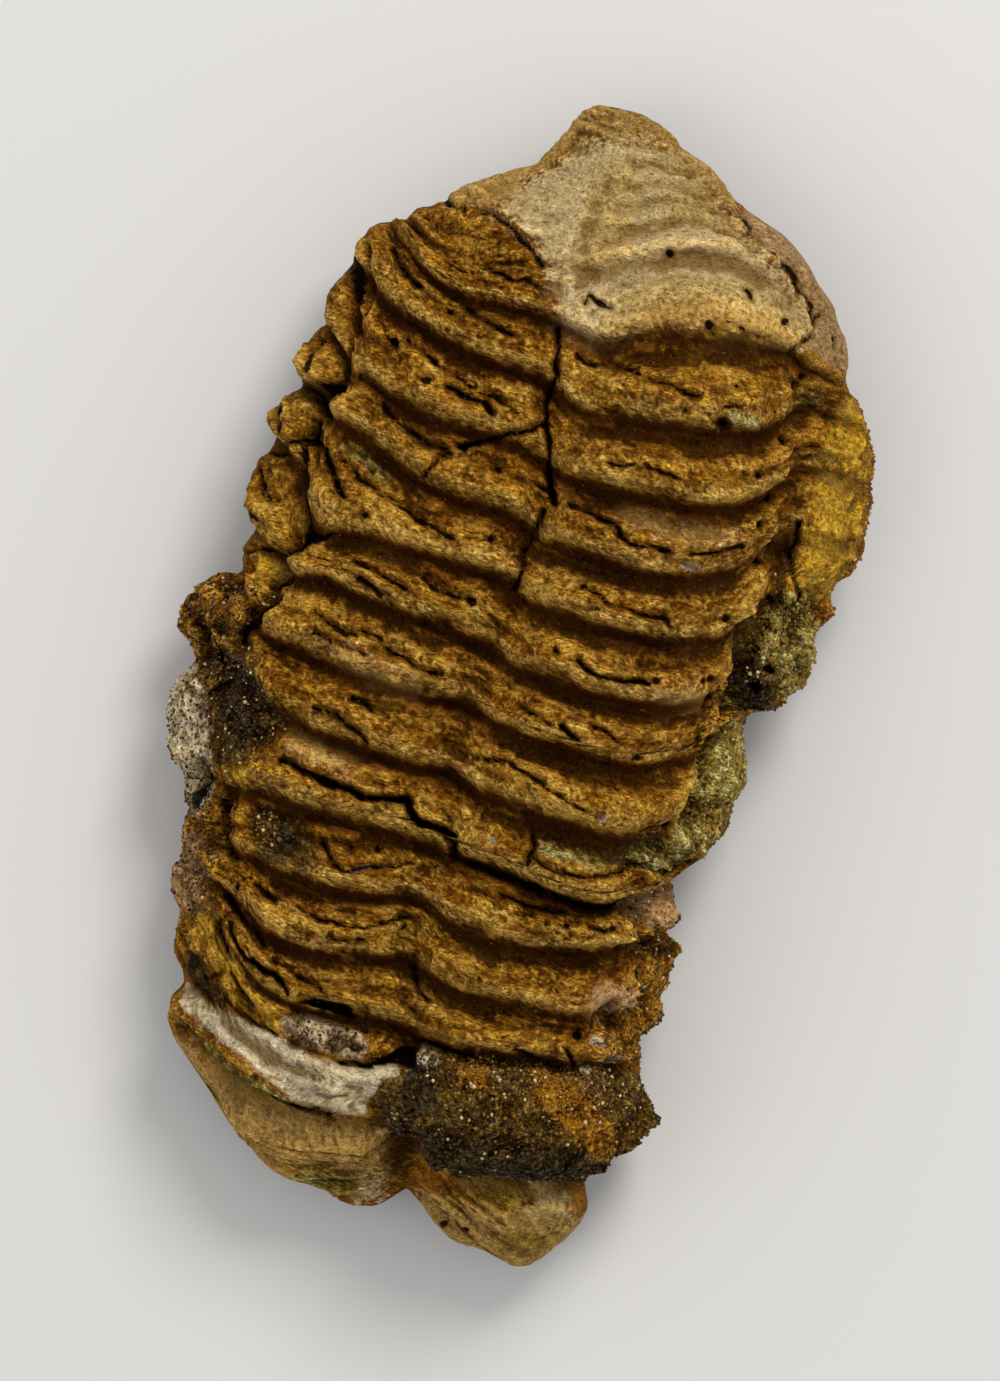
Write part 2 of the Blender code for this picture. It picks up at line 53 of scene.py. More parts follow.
# Plan of the stone seen from above
TAIL_TIP = (-2.6, 40.25)
HEAD_NOTCH = (1.0, -37.0)
RIGHT_EDGE = (
    (-0.5, 40.05), (1.2, 39.4), (2.6, 38.4), (3.9, 38.0), (5.1, 37.3), (6.2, 36.4), (7.0, 35.8),
    (9.0, 34.95), (10.4, 34.45), (12.5, 33.0), (13.9, 31.5), (15.2, 30.4), (15.75, 29.4),
    (16.6, 28.2), (17.2, 26.6), (17.2, 25.6), (18.3, 24.3), (19.4, 23.0), (20.4, 21.0),
    (20.9, 18.8), (21.25, 18.0), (21.2, 17.2), (21.35, 15.0), (21.4, 13.9), (20.9, 12.1),
    (20.3, 11.8), (20.0, 10.7), (20.5, 9.4), (19.7, 8.0), (19.65, 7.0), (19.85, 5.8),
    (19.7, 4.0), (18.7, 3.0), (18.6, 2.4), (17.9, 1.6), (17.1, 1.25), (16.4, 1.5),
    (16.15, 0.6), (16.4, -0.8), (17.0, -2.6), (17.3, -3.7), (17.1, -4.6), (16.9, -7.4),
    (16.3, -8.2), (15.7, -9.3), (14.2, -10.4), (13.4, -11.1), (14.1, -11.8), (14.5, -13.2),
    (14.6, -14.1), (14.3, -14.7), (15.0, -15.4), (15.8, -15.8), (15.4, -17.0), (15.5, -18.8),
    (15.3, -19.5), (15.75, -21.0), (15.0, -22.2), (14.45, -22.7), (14.7, -23.8), (15.2, -25.5),
    (16.1, -27.0), (16.8, -28.3), (16.3, -29.0), (15.6, -30.0), (14.1, -31.4), (13.9, -32.2),
    (13.0, -33.0), (13.3, -34.0), (13.75, -35.3), (13.2, -37.0), (12.3, -38.4), (11.2, -39.8),
    (10.0, -40.5), (8.6, -40.3), (7.5, -39.9), (5.2, -39.7), (3.6, -38.9), (2.2, -37.7),
)
LEFT_EDGE = (
    (-4.4, 40.0), (-5.3, 39.3), (-6.0, 37.9), (-7.0, 36.0), (-7.6, 34.95), (-8.6, 34.5),
    (-11.0, 33.1), (-12.0, 32.35), (-13.3, 31.0), (-13.9, 30.45), (-14.9, 29.95), (-15.2, 29.3),
    (-16.0, 28.95), (-17.4, 28.35), (-18.0, 27.2), (-18.5, 25.0), (-19.4, 22.5), (-19.15, 21.0),
    (-19.8, 19.5), (-20.15, 18.1), (-19.9, 16.0), (-20.6, 14.8), (-21.1, 13.4), (-20.65, 11.6),
    (-21.4, 10.0), (-21.5, 8.7), (-20.9, 7.0), (-20.5, 5.6), (-20.95, 4.0), (-20.8, 2.45),
    (-22.2, 2.1), (-23.2, 1.2), (-23.8, 0.0), (-24.25, -1.8), (-23.9, -2.8), (-22.9, -3.4),
    (-22.6, -4.5), (-23.3, -5.8), (-23.7, -7.2), (-23.3, -9.0), (-22.4, -11.2), (-21.2, -12.9),
    (-20.5, -14.5), (-20.2, -16.5), (-20.1, -18.2), (-20.4, -19.6), (-19.9, -20.9),
    (-19.1, -21.8), (-18.9, -23.4), (-18.8, -24.7), (-17.9, -26.0), (-17.7, -26.8),
    (-18.1, -27.6), (-18.2, -28.9), (-17.7, -30.4), (-16.3, -31.8), (-14.0, -33.7),
    (-12.4, -35.2), (-10.6, -36.6), (-8.5, -37.9), (-7.0, -38.35), (-4.2, -38.5),
    (-3.4, -38.95), (-2.2, -39.0), (-0.8, -38.7), (0.2, -37.9),
)

# Lines that cross the stone from left to right, tail first, and the columns they are read at
COLUMNS = (-24, -20.5, -18.5, -17, -15, -13, -10, -6, -3, -0.5, 1.0, 3, 7, 10, 12.5, 14, 15, 21)
TAIL_LINES = (
    (44, 43, 42, 41.5, 41, 40.8, 40.6, 40.4, 40.3, 40.35, 40.4, 40.5, 40.6, 40.4, 40, 39.6, 39.3, 37),
    (42, 41.2, 40.4, 40, 39.4, 38.8, 38.4, 38.2, 38.2, 38.2, 38.3, 38.4, 38.4, 38.2, 37.6, 37, 36.6, 34),
    (40, 39, 38.3, 37.6, 36.4, 35.6, 35.2, 35.2, 35.2, 35.3, 35.6, 36, 36.2, 35.8, 35, 34.2, 33.6, 31),
    (37, 36.2, 35.4, 34.6, 33.2, 32.2, 31.6, 31.8, 31.9, 32, 32.6, 33.5, 34.2, 33.6, 32.4, 31.4, 30.8, 28),
)
GROOVES = (
    (33, 32, 31.3, 30.2, 28.9, 27.9, 27.5, 28.2, 28.4, 28.4, 29.0, 30.2, 32, 31.7, 30.6, 29.6, 28.8, 26),
    (31, 30.4, 29.9, 29.2, 27.2, 25.6, 24.7, 24.6, 24.3, 23.6, 23.9, 24.8, 25.7, 26.1, 26.1, 25.8,
     25.4, 24.2),
    (27, 25.8, 24.9, 24.3, 22.8, 21.9, 21.1, 20.5, 20.1, 18.9, 18.7, 18.8, 19.2, 19.7, 20.6, 22, 22.8, 22),
    (24, 22, 20.2, 17.8, 17.3, 16.3, 15.4, 15.5, 15, 14.1, 13.9, 13.8, 14, 14.4, 15.3, 16.7, 18.2, 19),
    (18, 16.6, 15.6, 14.2, 13.6, 12.6, 11.2, 10.6, 10.4, 9.2, 9.1, 9, 8.9, 9.3, 10.5, 12, 13.6, 14.5),
    (13, 11.9, 10.2, 7, 6.2, 6.6, 6.5, 6.2, 6, 4.9, 4.7, 4.6, 4.4, 4.6, 5.5, 6.7, 8, 9.5),
    (7.5, 5.9, 3.8, 2.8, 3, 2.7, 2.2, 1.7, 1.4, 0.3, 0.1, -0.1, -0.3, 0, 0.9, 2.1, 4, 5),
    (3.2, 1.6, -1.2, -1.9, -2.3, -2.7, -3, -3.2, -3.1, -4, -4.2, -4.4, -4.6, -4.1, -3, -1.8, -0.4, 1),
    (-4, -4.4, -5.4, -6.2, -6.9, -7.4, -7.8, -8.1, -8, -8.9, -9.1, -9.3, -9.5, -9.5, -8.2, -7.2, -6.3, -4),
    (-12, -12.2, -12.6, -12.7, -12.7, -12.9, -13.1, -12.9, -13.3, -13.6, -13.7, -14, -14.7, -14.3,
     -12.8, -11.6, -10.8, -9),
    (-14.1, -14.7, -15.9, -16.7, -17.1, -17.6, -17.9, -17.6, -17.1, -18.1, -18.4, -18.7, -18.3,
     -17.6, -16.5, -15.4, -14.9, -13.5),
    (-16, -17, -18.5, -19.3, -20.4, -21.8, -22.4, -22, -21.5, -22.2, -22.5, -22.7, -22.6, -22.2,
     -21.2, -20.4, -19.8, -18),
    (-18.4, -19.4, -20.5, -21.3, -23.4, -25.2, -26.3, -26.3, -26, -26.4, -26.6, -26.7, -25.9,
     -25.6, -25.2, -24.8, -24.3, -23),
)
HEAD_LINES = (
    (-22, -23, -24, -24.8, -26, -27.4, -28.7, -29.2, -28.9, -28.4, -28.4, -28.5, -28.2, -28, -27.8,
     -27.6, -27.4, -26),
    (-25.5, -26.6, -28, -29, -30.9, -32, -33, -33.1, -32.9, -33.2, -33.3, -33.4, -33.6, -33.5, -33,
     -32.5, -32, -30),
    (-29, -30.3, -31.4, -32.3, -33.8, -35.2, -36.6, -36.8, -36.2, -35.5, -35.2, -35.5, -36.9,
     -37.3, -36.6, -35.8, -35.2, -33),
    (-33, -34.4, -35.6, -36.6, -38, -38.8, -39.4, -39, -38.1, -36.9, -36.2, -36.7, -39, -40,
     -40.2, -40, -39.6, -37),
    (-41, -42, -43, -43.5, -44, -44, -43.6, -42.5, -41, -38.8, -37.1, -39.2, -42.5, -43.5, -44,
     -44, -44, -43),
)
FIRST_GROOVE = len(TAIL_LINES)
LAST_GROOVE = FIRST_GROOVE + len(GROOVES) - 1

# Height of the back before its edges roll down, at crossings of these Y and X lines
HEIGHT_ROWS = (40, 36, 30, 22, 10, -4, -16, -25, -31, -33.4, -35.4, -40)
HEIGHT_COLUMNS = (-24, -20, -16, -10, -5, -2, 2, 6, 10, 13, 16, 21)
HEIGHTS = (
    (8, 8, 8, 9, 10, 11, 11, 10.5, 10, 9, 8, 7),
    (9, 9, 9, 10, 11, 13.5, 14.5, 14, 12.5, 10.5, 9, 8),
    (10, 11, 13, 14.5, 15.5, 16.6, 18.2, 18.6, 16.8, 13.6, 11, 9),
    (11, 13, 15.6, 17, 17.4, 17.8, 20.6, 21.8, 20.4, 17.2, 13.2, 10.5),
    (11, 13.2, 16.2, 18.2, 18.4, 18.4, 21.8, 23.2, 21.5, 18.2, 13.6, 10.5),
    (9.5, 12.6, 16.2, 18.4, 18.6, 18.5, 21.8, 23.2, 21.4, 17.8, 13.8, 10),
    (9, 12, 15.2, 17.7, 18.1, 18.0, 21.0, 22.2, 20.2, 16.4, 12.6, 9),
    (8, 10.5, 13.4, 15.8, 16.6, 16.8, 18.9, 19.8, 18.2, 15, 11.5, 8),
    (7, 9.5, 12.4, 14.8, 15.2, 14.8, 16.6, 17.4, 16, 13.2, 10, 7),
    (6.5, 8, 10.6, 13.2, 13.8, 13, 15.2, 15.8, 14.4, 11.8, 9.2, 7),
    (6, 7.5, 8.8, 10.4, 10.8, 9.6, 10.2, 11, 11, 10, 8.5, 7),
    (5, 6, 6.6, 7.4, 7.8, 7.2, 7.2, 8.4, 8.6, 8, 7, 6),
)
RIM_Y = (-40, -30, -10, 10, 30, 40)
RIM_HEIGHT = (4.6, 5.2, 6.4, 7.0, 7.2, 6.8)
BACK_ROLL_X = (-22, -10, 0, 12, 21)
BACK_ROLL = (6.2, 5.6, 4.4, 3.4, 3.0)
BELLY_ROLL = 12.5
BELLY_LUMP = 0.55
BELLY_LUMP_LENGTH = 7.0

# Section of one segment along the body, from the groove behind it to the groove in front
SECTION_PLACES = (0, 0.1, 0.22, 0.34, 0.5, 0.66, 0.76, 0.86, 0.94, 1)
PLEURA_SECTION = (-1, -0.8, -0.35, 0.05, 0.42, 0.86, 0.95, 0.6, -0.4, -1)
RING_SECTION = (-1, -0.92, -0.7, 0.0, 0.75, 0.96, 0.92, 0.55, -0.5, -1)
RING_FROM_X, RING_FULL_X = -2.4, 0.6
RELIEF_AT_COLUMNS = (0.3, 0.75, 0.9, 1.0, 1.0, 0.8, 1.15, 1.25, 1.15, 0.9, 0.3, 0.15)
RELIEF_LINES = (0, 3, 4, 5, 6, 9, 14, 15, 16, 16.4, 17, 21)
RELIEF_ALONG = (0, 0.1, 0.3, 0.9, 1.05, 1.1, 1.05, 0.95, 0.8, 0.3, 0, 0)

# Broad furrows: their course, half width, depth and how far the walls reach
AXIAL_FURROW = ((-4.2, 26), (-3, 22), (-2.6, 17), (-1.3, 12.5), (-1.9, 7), (-2.6, 2), (-3, -4),
                (-3, -12), (-3.4, -18), (-2.4, -22), (-1.6, -26))
RIGHT_FOLD = ((13.4, 26.2), (14.6, 23), (15, 19.5), (15.5, 16), (15.8, 13))
RIGHT_CLEFT = ((15.9, 12.5), (15.9, 9.4), (15.2, 7), (15.1, 3.4), (14.9, 0), (14.8, -3), (14.2, -7.4))
LEFT_CLEFT = ((-17.3, 26), (-17.2, 21.5), (-17.1, 17), (-18.1, 15), (-18, 11.5), (-17.8, 8.2),
              (-16.6, 6.3), (-18, 4.2), (-18.7, 0), (-19.4, -2.6))
WIDE_CRACK = ((-14.6, -9.9), (-12.5, -10.4), (-10, -10.7), (-8, -11), (-5.6, -10.4), (-4.7, -11.7),
              (-2.2, -12), (-1.3, -13.3), (0.5, -13.65), (4, -14), (8, -14.7), (10, -14.2), (11.8, -13.2))
FRONT_CLEFT = ((-1.6, -34), (1, -35), (4, -35.5), (8, -35.3), (11.4, -34.2))
LOBE_CLEFT = ((0.2, -33.8), (0.6, -35.6), (1.0, -38))
CHEEK_FURROW = ((-17, -30), (-15, -31.6), (-12.6, -33), (-9.6, -33.5), (-5, -33.4), (-2, -33.2))
CHEEK_RIM = ((-16.9, -28.6), (-14, -30.1), (-11.5, -31.6), (-9, -32.7))
CHEEK_STEP = ((-15.5, -26.8), (-12.5, -28.2), (-9, -28.9), (-5, -29.1), (-3, -28.9), (-1, -27.6))
OCCIPITAL_FURROW = ((-9, -26.2), (-5, -26.2), (-1.6, -26.4), (3, -26.8), (8.6, -25.8))
BROAD_FURROWS = (
    (AXIAL_FURROW, 0.2, 0.8, 1.6), (RIGHT_FOLD, 0.2, 0.6, 1.1), (RIGHT_CLEFT, 0.3, 1.6, 0.9),
    (LEFT_CLEFT, 0.2, 1.3, 0.9),
    (WIDE_CRACK, 0.05, 1.2, 0.5), (FRONT_CLEFT, 0.3, 1.0, 1.2), (LOBE_CLEFT, 0.3, 2.0, 1.7),
    (CHEEK_FURROW, 0.3, 1.0, 1.0), (CHEEK_RIM, 0.2, -0.4, 0.9), (CHEEK_STEP, 0.2, 0.6, 0.8),
    (OCCIPITAL_FURROW, 0.3, 1.1, 1.0),
)
LUMPS = (
    ((-21.6, -0.4), (2.8, 3.2), 0, 1.6),      # knob on the left edge
    ((-21.3, 0.9), (1.7, 1.1), 20, -1.6),     # its two hollows
    ((-21.0, -1.9), (1.3, 0.9), -20, -1.3),
    ((18.4, 14.0), (2.6, 4.5), 0, 1.3),       # yellow rock on the right edge
    ((18.6, 21.0), (2.4, 3.4), 20, 0.9),
    ((18.0, 5.4), (1.9, 2.6), 0, 1.1),
    ((-18.8, 18.3), (2.2, 3.4), 0, 0.45),     # plates along the left edge
    ((-19.3, 13.3), (2.4, 3.2), 0, 0.45),
    ((-19.2, 7.4), (2.6, 4.8), 0, 0.5),
    ((-8.5, -36.0), (6.5, 2.4), -22, 1.0),    # front lobe of the cheek
    ((7.8, -37.2), (5.6, 2.4), 5, 1.3),       # front lobe of the glabella
    ((12.0, 31.6), (5.0, 2.6), -42, 0.5),     # smooth lobe of the tail
    ((9.5, 20.6), (1.3, 0.8), 0, -1.3),       # open hollow in the third ring
    ((-5.4, 37.4), (1.5, 2.0), -30, -0.9),
    ((7.6, -22.6), (4.6, 1.6), 4, 0.8),       # worn stretch that fills the last grooves
    ((6.5, -25.4), (4.0, 1.2), 4, 0.7),
)

# Open cracks, painted black inside as shade: half width, then the course
CRACKS = (
    (0.16, (-13.2, 31.15), (-12.9, 30.85), (-12.2, 30.55), (-11.6, 30.6)),
    (0.1, (-10.4, 30.9), (-9.6, 30.9), (-8.7, 30.5), (-7.6, 29.9), (-6.7, 29.2), (-5.9, 28.6), (-5.4, 28.1)),
    (0.12, (-17.5, 26.5), (-17.2, 25.3), (-16.8, 23.9), (-16.6, 22.8), (-16.5, 21.9)),
    (0.14, (-18.3, 26), (-18.4, 24), (-17.8, 22.5), (-17.3, 20.8)),
    (0.12, (-7.6, 14.5), (-7, 14.8), (-6.1, 15.4), (-5.2, 15.9), (-4.1, 16.2), (-3.5, 16.6), (-2.4, 17.4)),
    (0.09, (-8.5, 13.8), (-9.2, 13.1), (-9.6, 12.3), (-9.8, 11.8)),
    (0.15, (-18.5, 11.4), (-18.2, 10.2), (-17.8, 9.1), (-17.6, 7.7), (-17.2, 6.8), (-16.8, 6)),
    (0.18, (-16.9, 11.8), (-16.4, 10.9), (-15.6, 9.8), (-15, 9)),
    (0.15, (-16.2, 5.5), (-17.5, 4.7), (-17.9, 4.3), (-18, 3.6), (-18, 2.8), (-18.4, 2.4), (-18.8, 1.9)),
    (0.2, (-18.5, 0.5), (-18.7, -0.4), (-18.8, -1.1), (-19.3, -1.9), (-19.5, -2.5)),
    (0.2, (-14.6, -9.9), (-13.8, -10), (-13, -10.2), (-11.9, -10.4), (-10.7, -10.6), (-9.5, -10.8),
     (-8.4, -11), (-7.3, -10.9), (-6.4, -10.7), (-5.6, -10.5), (-5.2, -10.9), (-4.7, -11.6),
     (-4.1, -11.85), (-3.2, -11.8), (-2.2, -12), (-1.7, -12.1), (-1.5, -12.4), (-1.2, -13.3)),
    (0.16, (-0.3, -13.6), (1.5, -13.8), (3, -14), (4.5, -14.1), (6, -14.4), (7.5, -14.6), (9, -14.6),
     (10, -14.3), (11, -13.7), (11.8, -13)),
    (0.15, (-3.2, 24), (-2.8, 22.9), (-2.7, 21.7), (-2.5, 20.9), (-2.7, 20), (-2.7, 18.9), (-2.6, 18),
     (-2.4, 17.4), (-2, 16.5), (-1.6, 15.4), (-1.5, 14.5), (-1.15, 13.5), (-0.7, 12.6), (-0.5, 12.2)),
    (0.1, (-2.2, 13.1), (-1.2, 12.8), (-0.4, 12.2)),
    (0.1, (-1.1, 11.7), (-1.2, 10.6), (-1.2, 9.7), (-1.5, 8.6), (-1.8, 8.3), (-1.6, 7.7), (-1.5, 6.8),
     (-1.7, 5.7)),
    (0.13, (-13.2, -24), (-12.4, -24.5), (-11.5, -24.5), (-11, -24.9), (-10.5, -25.3), (-10.2, -25.6)),
    (0.05, (-2.2, -20.8), (-2.1, -22), (-1.5, -23.2), (-0.7, -23.8)),
    (0.2, (-9.6, 18.1), (-8.7, 17.9), (-7.8, 17.8), (-7, 17.8), (-6.3, 17.3)),
    (0.14, (-5.6, -29.4), (-4.7, -29.1), (-3.6, -29.3), (-2.9, -28.8), (-2.6, -28.5)),
    (0.14, (-11, -33), (-9, -33.3), (-7, -33.1), (-5.5, -33)),
    (0.12, (0.1, 12.2), (1.5, 12.15), (2.5, 11.9), (3.7, 11.8), (4.3, 11.4), (4.8, 10.8), (5.4, 10.6),
     (6.1, 10.7), (7.1, 10.9), (8, 10.9)),
    (0.12, (9.5, 11), (10.8, 11.3), (12, 12), (12.8, 12.5)),
    (0.12, (3.7, 1.9), (4.3, 1.5), (5.1, 1.2), (5.8, 1.2), (6.8, 1.2), (7.7, 1.3), (8.9, 1.5)),
    (0.15, (3.9, -2.9), (4.6, -3.3), (5.2, -3.7)),
    (0.12, (6, -2.3), (7, -2.5), (7.8, -2.8)),
    (0.1, (16.4, 15), (16.5, 13.8), (16.3, 13), (16.7, 12), (17, 11), (17.6, 10.2)),
    (0.1, (9.6, -24.6), (10.4, -25.7)),
    (0.12, (3.7, -10.9), (4.1, -11.6), (3.7, -12.3), (3.8, -12.9)),
    (0.1, (13, -18.3), (13.4, -19.8)),
    (0.1, (-0.8, -26.6), (0.9, -26.6), (2.3, -26.7), (3.2, -26.6)),
    (0.12, (-20.7, 15.2), (-19.9, 15.9), (-19.2, 15.8), (-18.5, 14.7)),
    (0.12, (-21.2, 10.9), (-20.2, 11), (-19.2, 11.5), (-18.6, 12.2), (-18.4, 13.2)),
    (0.08, (-18.6, 12.3), (-17.3, 12), (-16.6, 11.9)),
    (0.1, (-20.8, 3.5), (-19.8, 4.3), (-18.9, 4.2), (-18.1, 3.7)),
)
# Shallow furrows and flake edges, painted dark inside as shade
FURROWS = (
    ((-11.8, 30.8), (-11.3, 31.3), (-10.8, 31.7)),
    ((-9.2, 26.9), (-7.9, 26.8), (-5.3, 26.6)),
    ((-15.9, 26.8), (-15, 25.8), (-14.2, 25), (-13.5, 24.6)),
    ((-9.8, 23.9), (-8.8, 23.5), (-8, 23.3), (-7.2, 23.1), (-6.2, 22.8)),
    ((-15.8, 22), (-15, 21.4), (-14.6, 20.6), (-13.8, 20.2)),
    ((-13.2, 20.7), (-12.2, 20.2), (-11.2, 19.8), (-9.9, 19.2), (-8.7, 18.8), (-7.6, 18.5), (-6, 18.2),
     (-5.2, 17.9), (-4.5, 17.5)),
    ((-13.8, 16), (-13.2, 15.4), (-12.2, 14.9), (-11.3, 14.5), (-10.7, 14.2), (-9.9, 13.9), (-8.8, 14)),
    ((-17.15, 19.5), (-17.2, 17)),
    ((-18.4, 13.8), (-18.2, 12.6), (-18.4, 11.7)),
    ((-15.9, 11.8), (-15, 11.2), (-14.1, 10.5), (-13.2, 10.2), (-12.2, 9.7), (-11.3, 9.5), (-10.4, 9.2),
     (-9.5, 8.8), (-8.4, 8.5), (-7.3, 8.2), (-6.8, 8.1)),
    ((-13, 4.8), (-11.9, 4.6), (-11, 4.3), (-10, 4.1), (-9.2, 3.9)),
    ((-8.1, 4.9), (-7.2, 4.3), (-6.1, 4.2), (-5.3, 4.1), (-4.5, 4.2)),
    ((-12.4, 3.85), (-10.7, 3.1)),
    ((-15, 0.9), (-14.2, 0.4), (-13.5, 0.1), (-12.5, -0.2), (-11.6, -0.1)),
    ((-11.3, 0.2), (-10.2, 0.1), (-9.5, -0.3), (-8.8, -0.7), (-7.9, -0.9), (-7.2, -1.3), (-6.4, -1.5),
     (-5.3, -1.3)),
    ((-14.7, -0.7), (-13.8, -0.7), (-12.2, -0.9), (-11.3, -1.1), (-10.7, -1.4)),
    ((-13.3, -5.7), (-12.2, -5.8), (-11.5, -5.9), (-10.8, -6.3), (-10.1, -6.5), (-9.5, -6.8), (-9, -7.3)),
    ((-11, -4.4), (-9.9, -4.5), (-9.3, -5)),
    ((-10.5, -14.8), (-9.9, -15.5), (-9.3, -16.1), (-8.5, -16.3), (-8.1, -16.2), (-6.8, -15.6),
     (-5.6, -15.3), (-4.8, -15), (-4.1, -14.5)),
    ((-14.2, -18.9), (-13.5, -19.2), (-12.7, -19.6)),
    ((-11.2, -19.4), (-10.2, -19.9), (-9.2, -20.1), (-7.6, -20.1), (-6.4, -19.9), (-5.3, -19.5),
     (-4.5, -18.9), (-3.6, -18.5), (-3.2, -18.4)),
    ((-8.4, -20.9), (-7.8, -21.1), (-6.9, -20.9), (-6.1, -20.6)),
    ((-18.6, -13.5), (-17.8, -15), (-17, -16.5), (-16, -17.3)),
    ((-16, -20), (-15, -21), (-13.7, -21.8), (-12.8, -22.7)),
    ((-15.3, -22), (-14.5, -23.3), (-13.7, -24), (-12, -24.5)),
    ((-14.5, -25.2), (-13.3, -26.3), (-12.3, -27.2)),
    ((-11.8, -23.6), (-10.5, -24), (-9.5, -24.4), (-8.4, -24.8), (-7.6, -24.9)),
    ((-16.1, -22.4), (-15.6, -23), (-15.1, -23.8)),
    ((-14.4, -27.2), (-13, -27.8), (-11.8, -28.2), (-10.4, -28.5)),
    ((-21.2, 9.6), (-20.2, 8.2), (-19.2, 7.6)),
    ((-20.8, 7.6), (-19.6, 6.4), (-18.8, 5.6)),
    ((-20.4, 14.2), (-19.6, 12.8), (-19.2, 11.9)),
    ((-19.4, 19.6), (-18.8, 18.4), (-18.6, 17)),
    ((8, 27.5), (9.5, 27.1), (11, 26.9)),
    ((-1.9, 26.1), (-1.5, 26.8), (-0.8, 26.5), (-0.1, 26.4)),
    ((-1.5, 22.5), (-0.8, 22.2), (0, 22.1)),
    ((1.5, 22.5), (2.8, 22.4), (4.3, 22.1), (5.8, 21.9), (7.4, 21.8)),
    ((9.2, 21.4), (10, 21.8), (11.2, 22)),
    ((2.5, 15.8), (3.4, 15.8), (4.3, 16.2)),
    ((5.2, 16.2), (6.3, 16.1), (7.4, 15.9)),
    ((2.7, 7), (3.4, 6.8), (4.2, 6.6), (4.9, 6.3), (5.8, 6.2), (7.1, 6.1), (8, 6.1), (9.1, 6.2)),
    ((0.8, -2.2), (1.6, -2.5), (3, -3)),
    ((-1.5, -6.4), (-0.3, -6.2), (1.1, -6.1)),
    ((1.1, -6.4), (2.5, -6.7), (3.7, -7.2), (4.9, -7.6), (5.8, -8), (7, -8.2), (7.7, -8.4)),
    ((4.3, -12.4), (6, -12.8), (8, -12.6), (10, -11.9), (11.5, -11), (12.5, -10.7)),
    ((2.2, -15.1), (3.1, -15.3), (4.2, -15.5), (5.8, -15.6), (7, -15.5)),
    ((3.7, -16.2), (5, -16.2)),
    ((9, -16), (10.2, -16)),
    ((6, -25.5), (8.5, -25.8)),
    ((8.9, 29.9), (9.5, 29.4)),
    ((7.1, 35.2), (7.6, 34.9), (8.4, 34.2), (9.1, 33.4), (10.2, 32.6), (11.5, 31.6), (12.3, 30.8),
     (13.5, 29.9), (14.3, 29), (14.2, 28), (13.5, 27.3), (13, 26.4)),
    ((16.1, 28), (16.4, 27), (16.5, 26.3)),
)
# Raised lips and ledges
LIPS = (
    ((-21, 9.4), (-19.8, 8.2), (-19, 6.6)),
    ((-20.4, 7.4), (-19.4, 6), (-18.6, 4.9)),
    ((-20.4, 14.6), (-19.4, 13.2), (-19, 12)),
    ((-15.9, 4.9), (-12.5, 4.3), (-9, 3.4)),
    ((-15, -0.2), (-12, -0.7), (-9, -1.4), (-6, -1.9)),
    ((-13.5, -5.4), (-11, -5.6), (-9, -6.3), (-6, -6.5)),
    ((14.4, 26), (15.4, 25), (16.6, 24.8)),
    ((14.8, 16), (16, 15.4), (16.9, 14.2)),
    ((-4.8, 21.9), (-4.1, 21.7), (-3.2, 21.9)),
    ((-6.1, 12.9), (-5.3, 12.2), (-4.5, 12), (-3.2, 12.2), (-2.2, 13)),
    ((-6.1, 7.8), (-5.3, 7.3), (-4.4, 7.4), (-3.2, 7.7), (-2.2, 8)),
    ((-11.2, 9.2), (-11.1, 8.4), (-13.2, 7.5), (-14.1, 6.9), (-15.5, 6.3)),
    ((-7.6, 3.7), (-6.7, 3.3), (-6.1, 3), (-5, 3), (-3.8, 3.3)),
    ((-19, -2), (-17, -3.6), (-15.5, -4.7)),
    ((3.5, 12.1), (5, 11.7), (7, 11.4), (9, 11.5), (11, 12.1), (12.5, 13)),
    ((9.5, 6.4), (11, 7), (12.5, 7.6), (14, 8.2)),
    ((0, -0.9), (2, -1.2), (3, -1.5), (5, -1.9), (8, -2.2), (10, -2.1)),
    ((-2, -2.7), (-1.3, -3.1), (-0.5, -3.4)),
    ((1.2, -6.1), (3, -6.4), (5, -6.9), (7, -7.1), (9.5, -7), (10.5, -6.6)),
    ((7.8, -13.2), (10, -12.5), (12, -11.3)),
    ((5.2, -20.5), (7, -20), (9.5, -19.7)),
    ((6, -20.9), (8.2, -20.5)),
    ((8.5, 20.2), (9.5, 19.7), (11, 20.2), (12.5, 21), (13.6, 22.2), (13.4, 23.5)),
    ((7.5, 15), (9, 14.9), (11, 15.2), (12.5, 16), (13.5, 17), (14.3, 18), (14.5, 19)),
    ((-1, 30), (1, 31), (5, 32.3), (8, 32.4)),
    ((-17.5, -13.6), (-16.7, -15), (-16, -16.2), (-15.2, -17)),
    ((-16.8, -17.6), (-15.8, -18.5), (-14.5, -19.5), (-13, -20.8)),
    ((-15.7, -21), (-14.7, -22), (-13.7, -22.8), (-12.7, -23.5)),
    ((-17.2, -21.7), (-16, -22.7), (-15.2, -23.8), (-14.2, -24.8), (-13.3, -25.7), (-12.2, -26.7),
     (-10, -28.5)),
    ((14, 21), (15.5, 21.3), (17, 20.7)),
    ((15, 18), (17, 17.6)),
    ((-17.4, -27.2), (-15.8, -28.4), (-14, -29.6), (-12.5, -30.4), (-11, -31.2), (-9.5, -31.9),
     (-8.5, -32.4)),
    ((-9.5, -11.5), (-8.2, -11.8)),
)
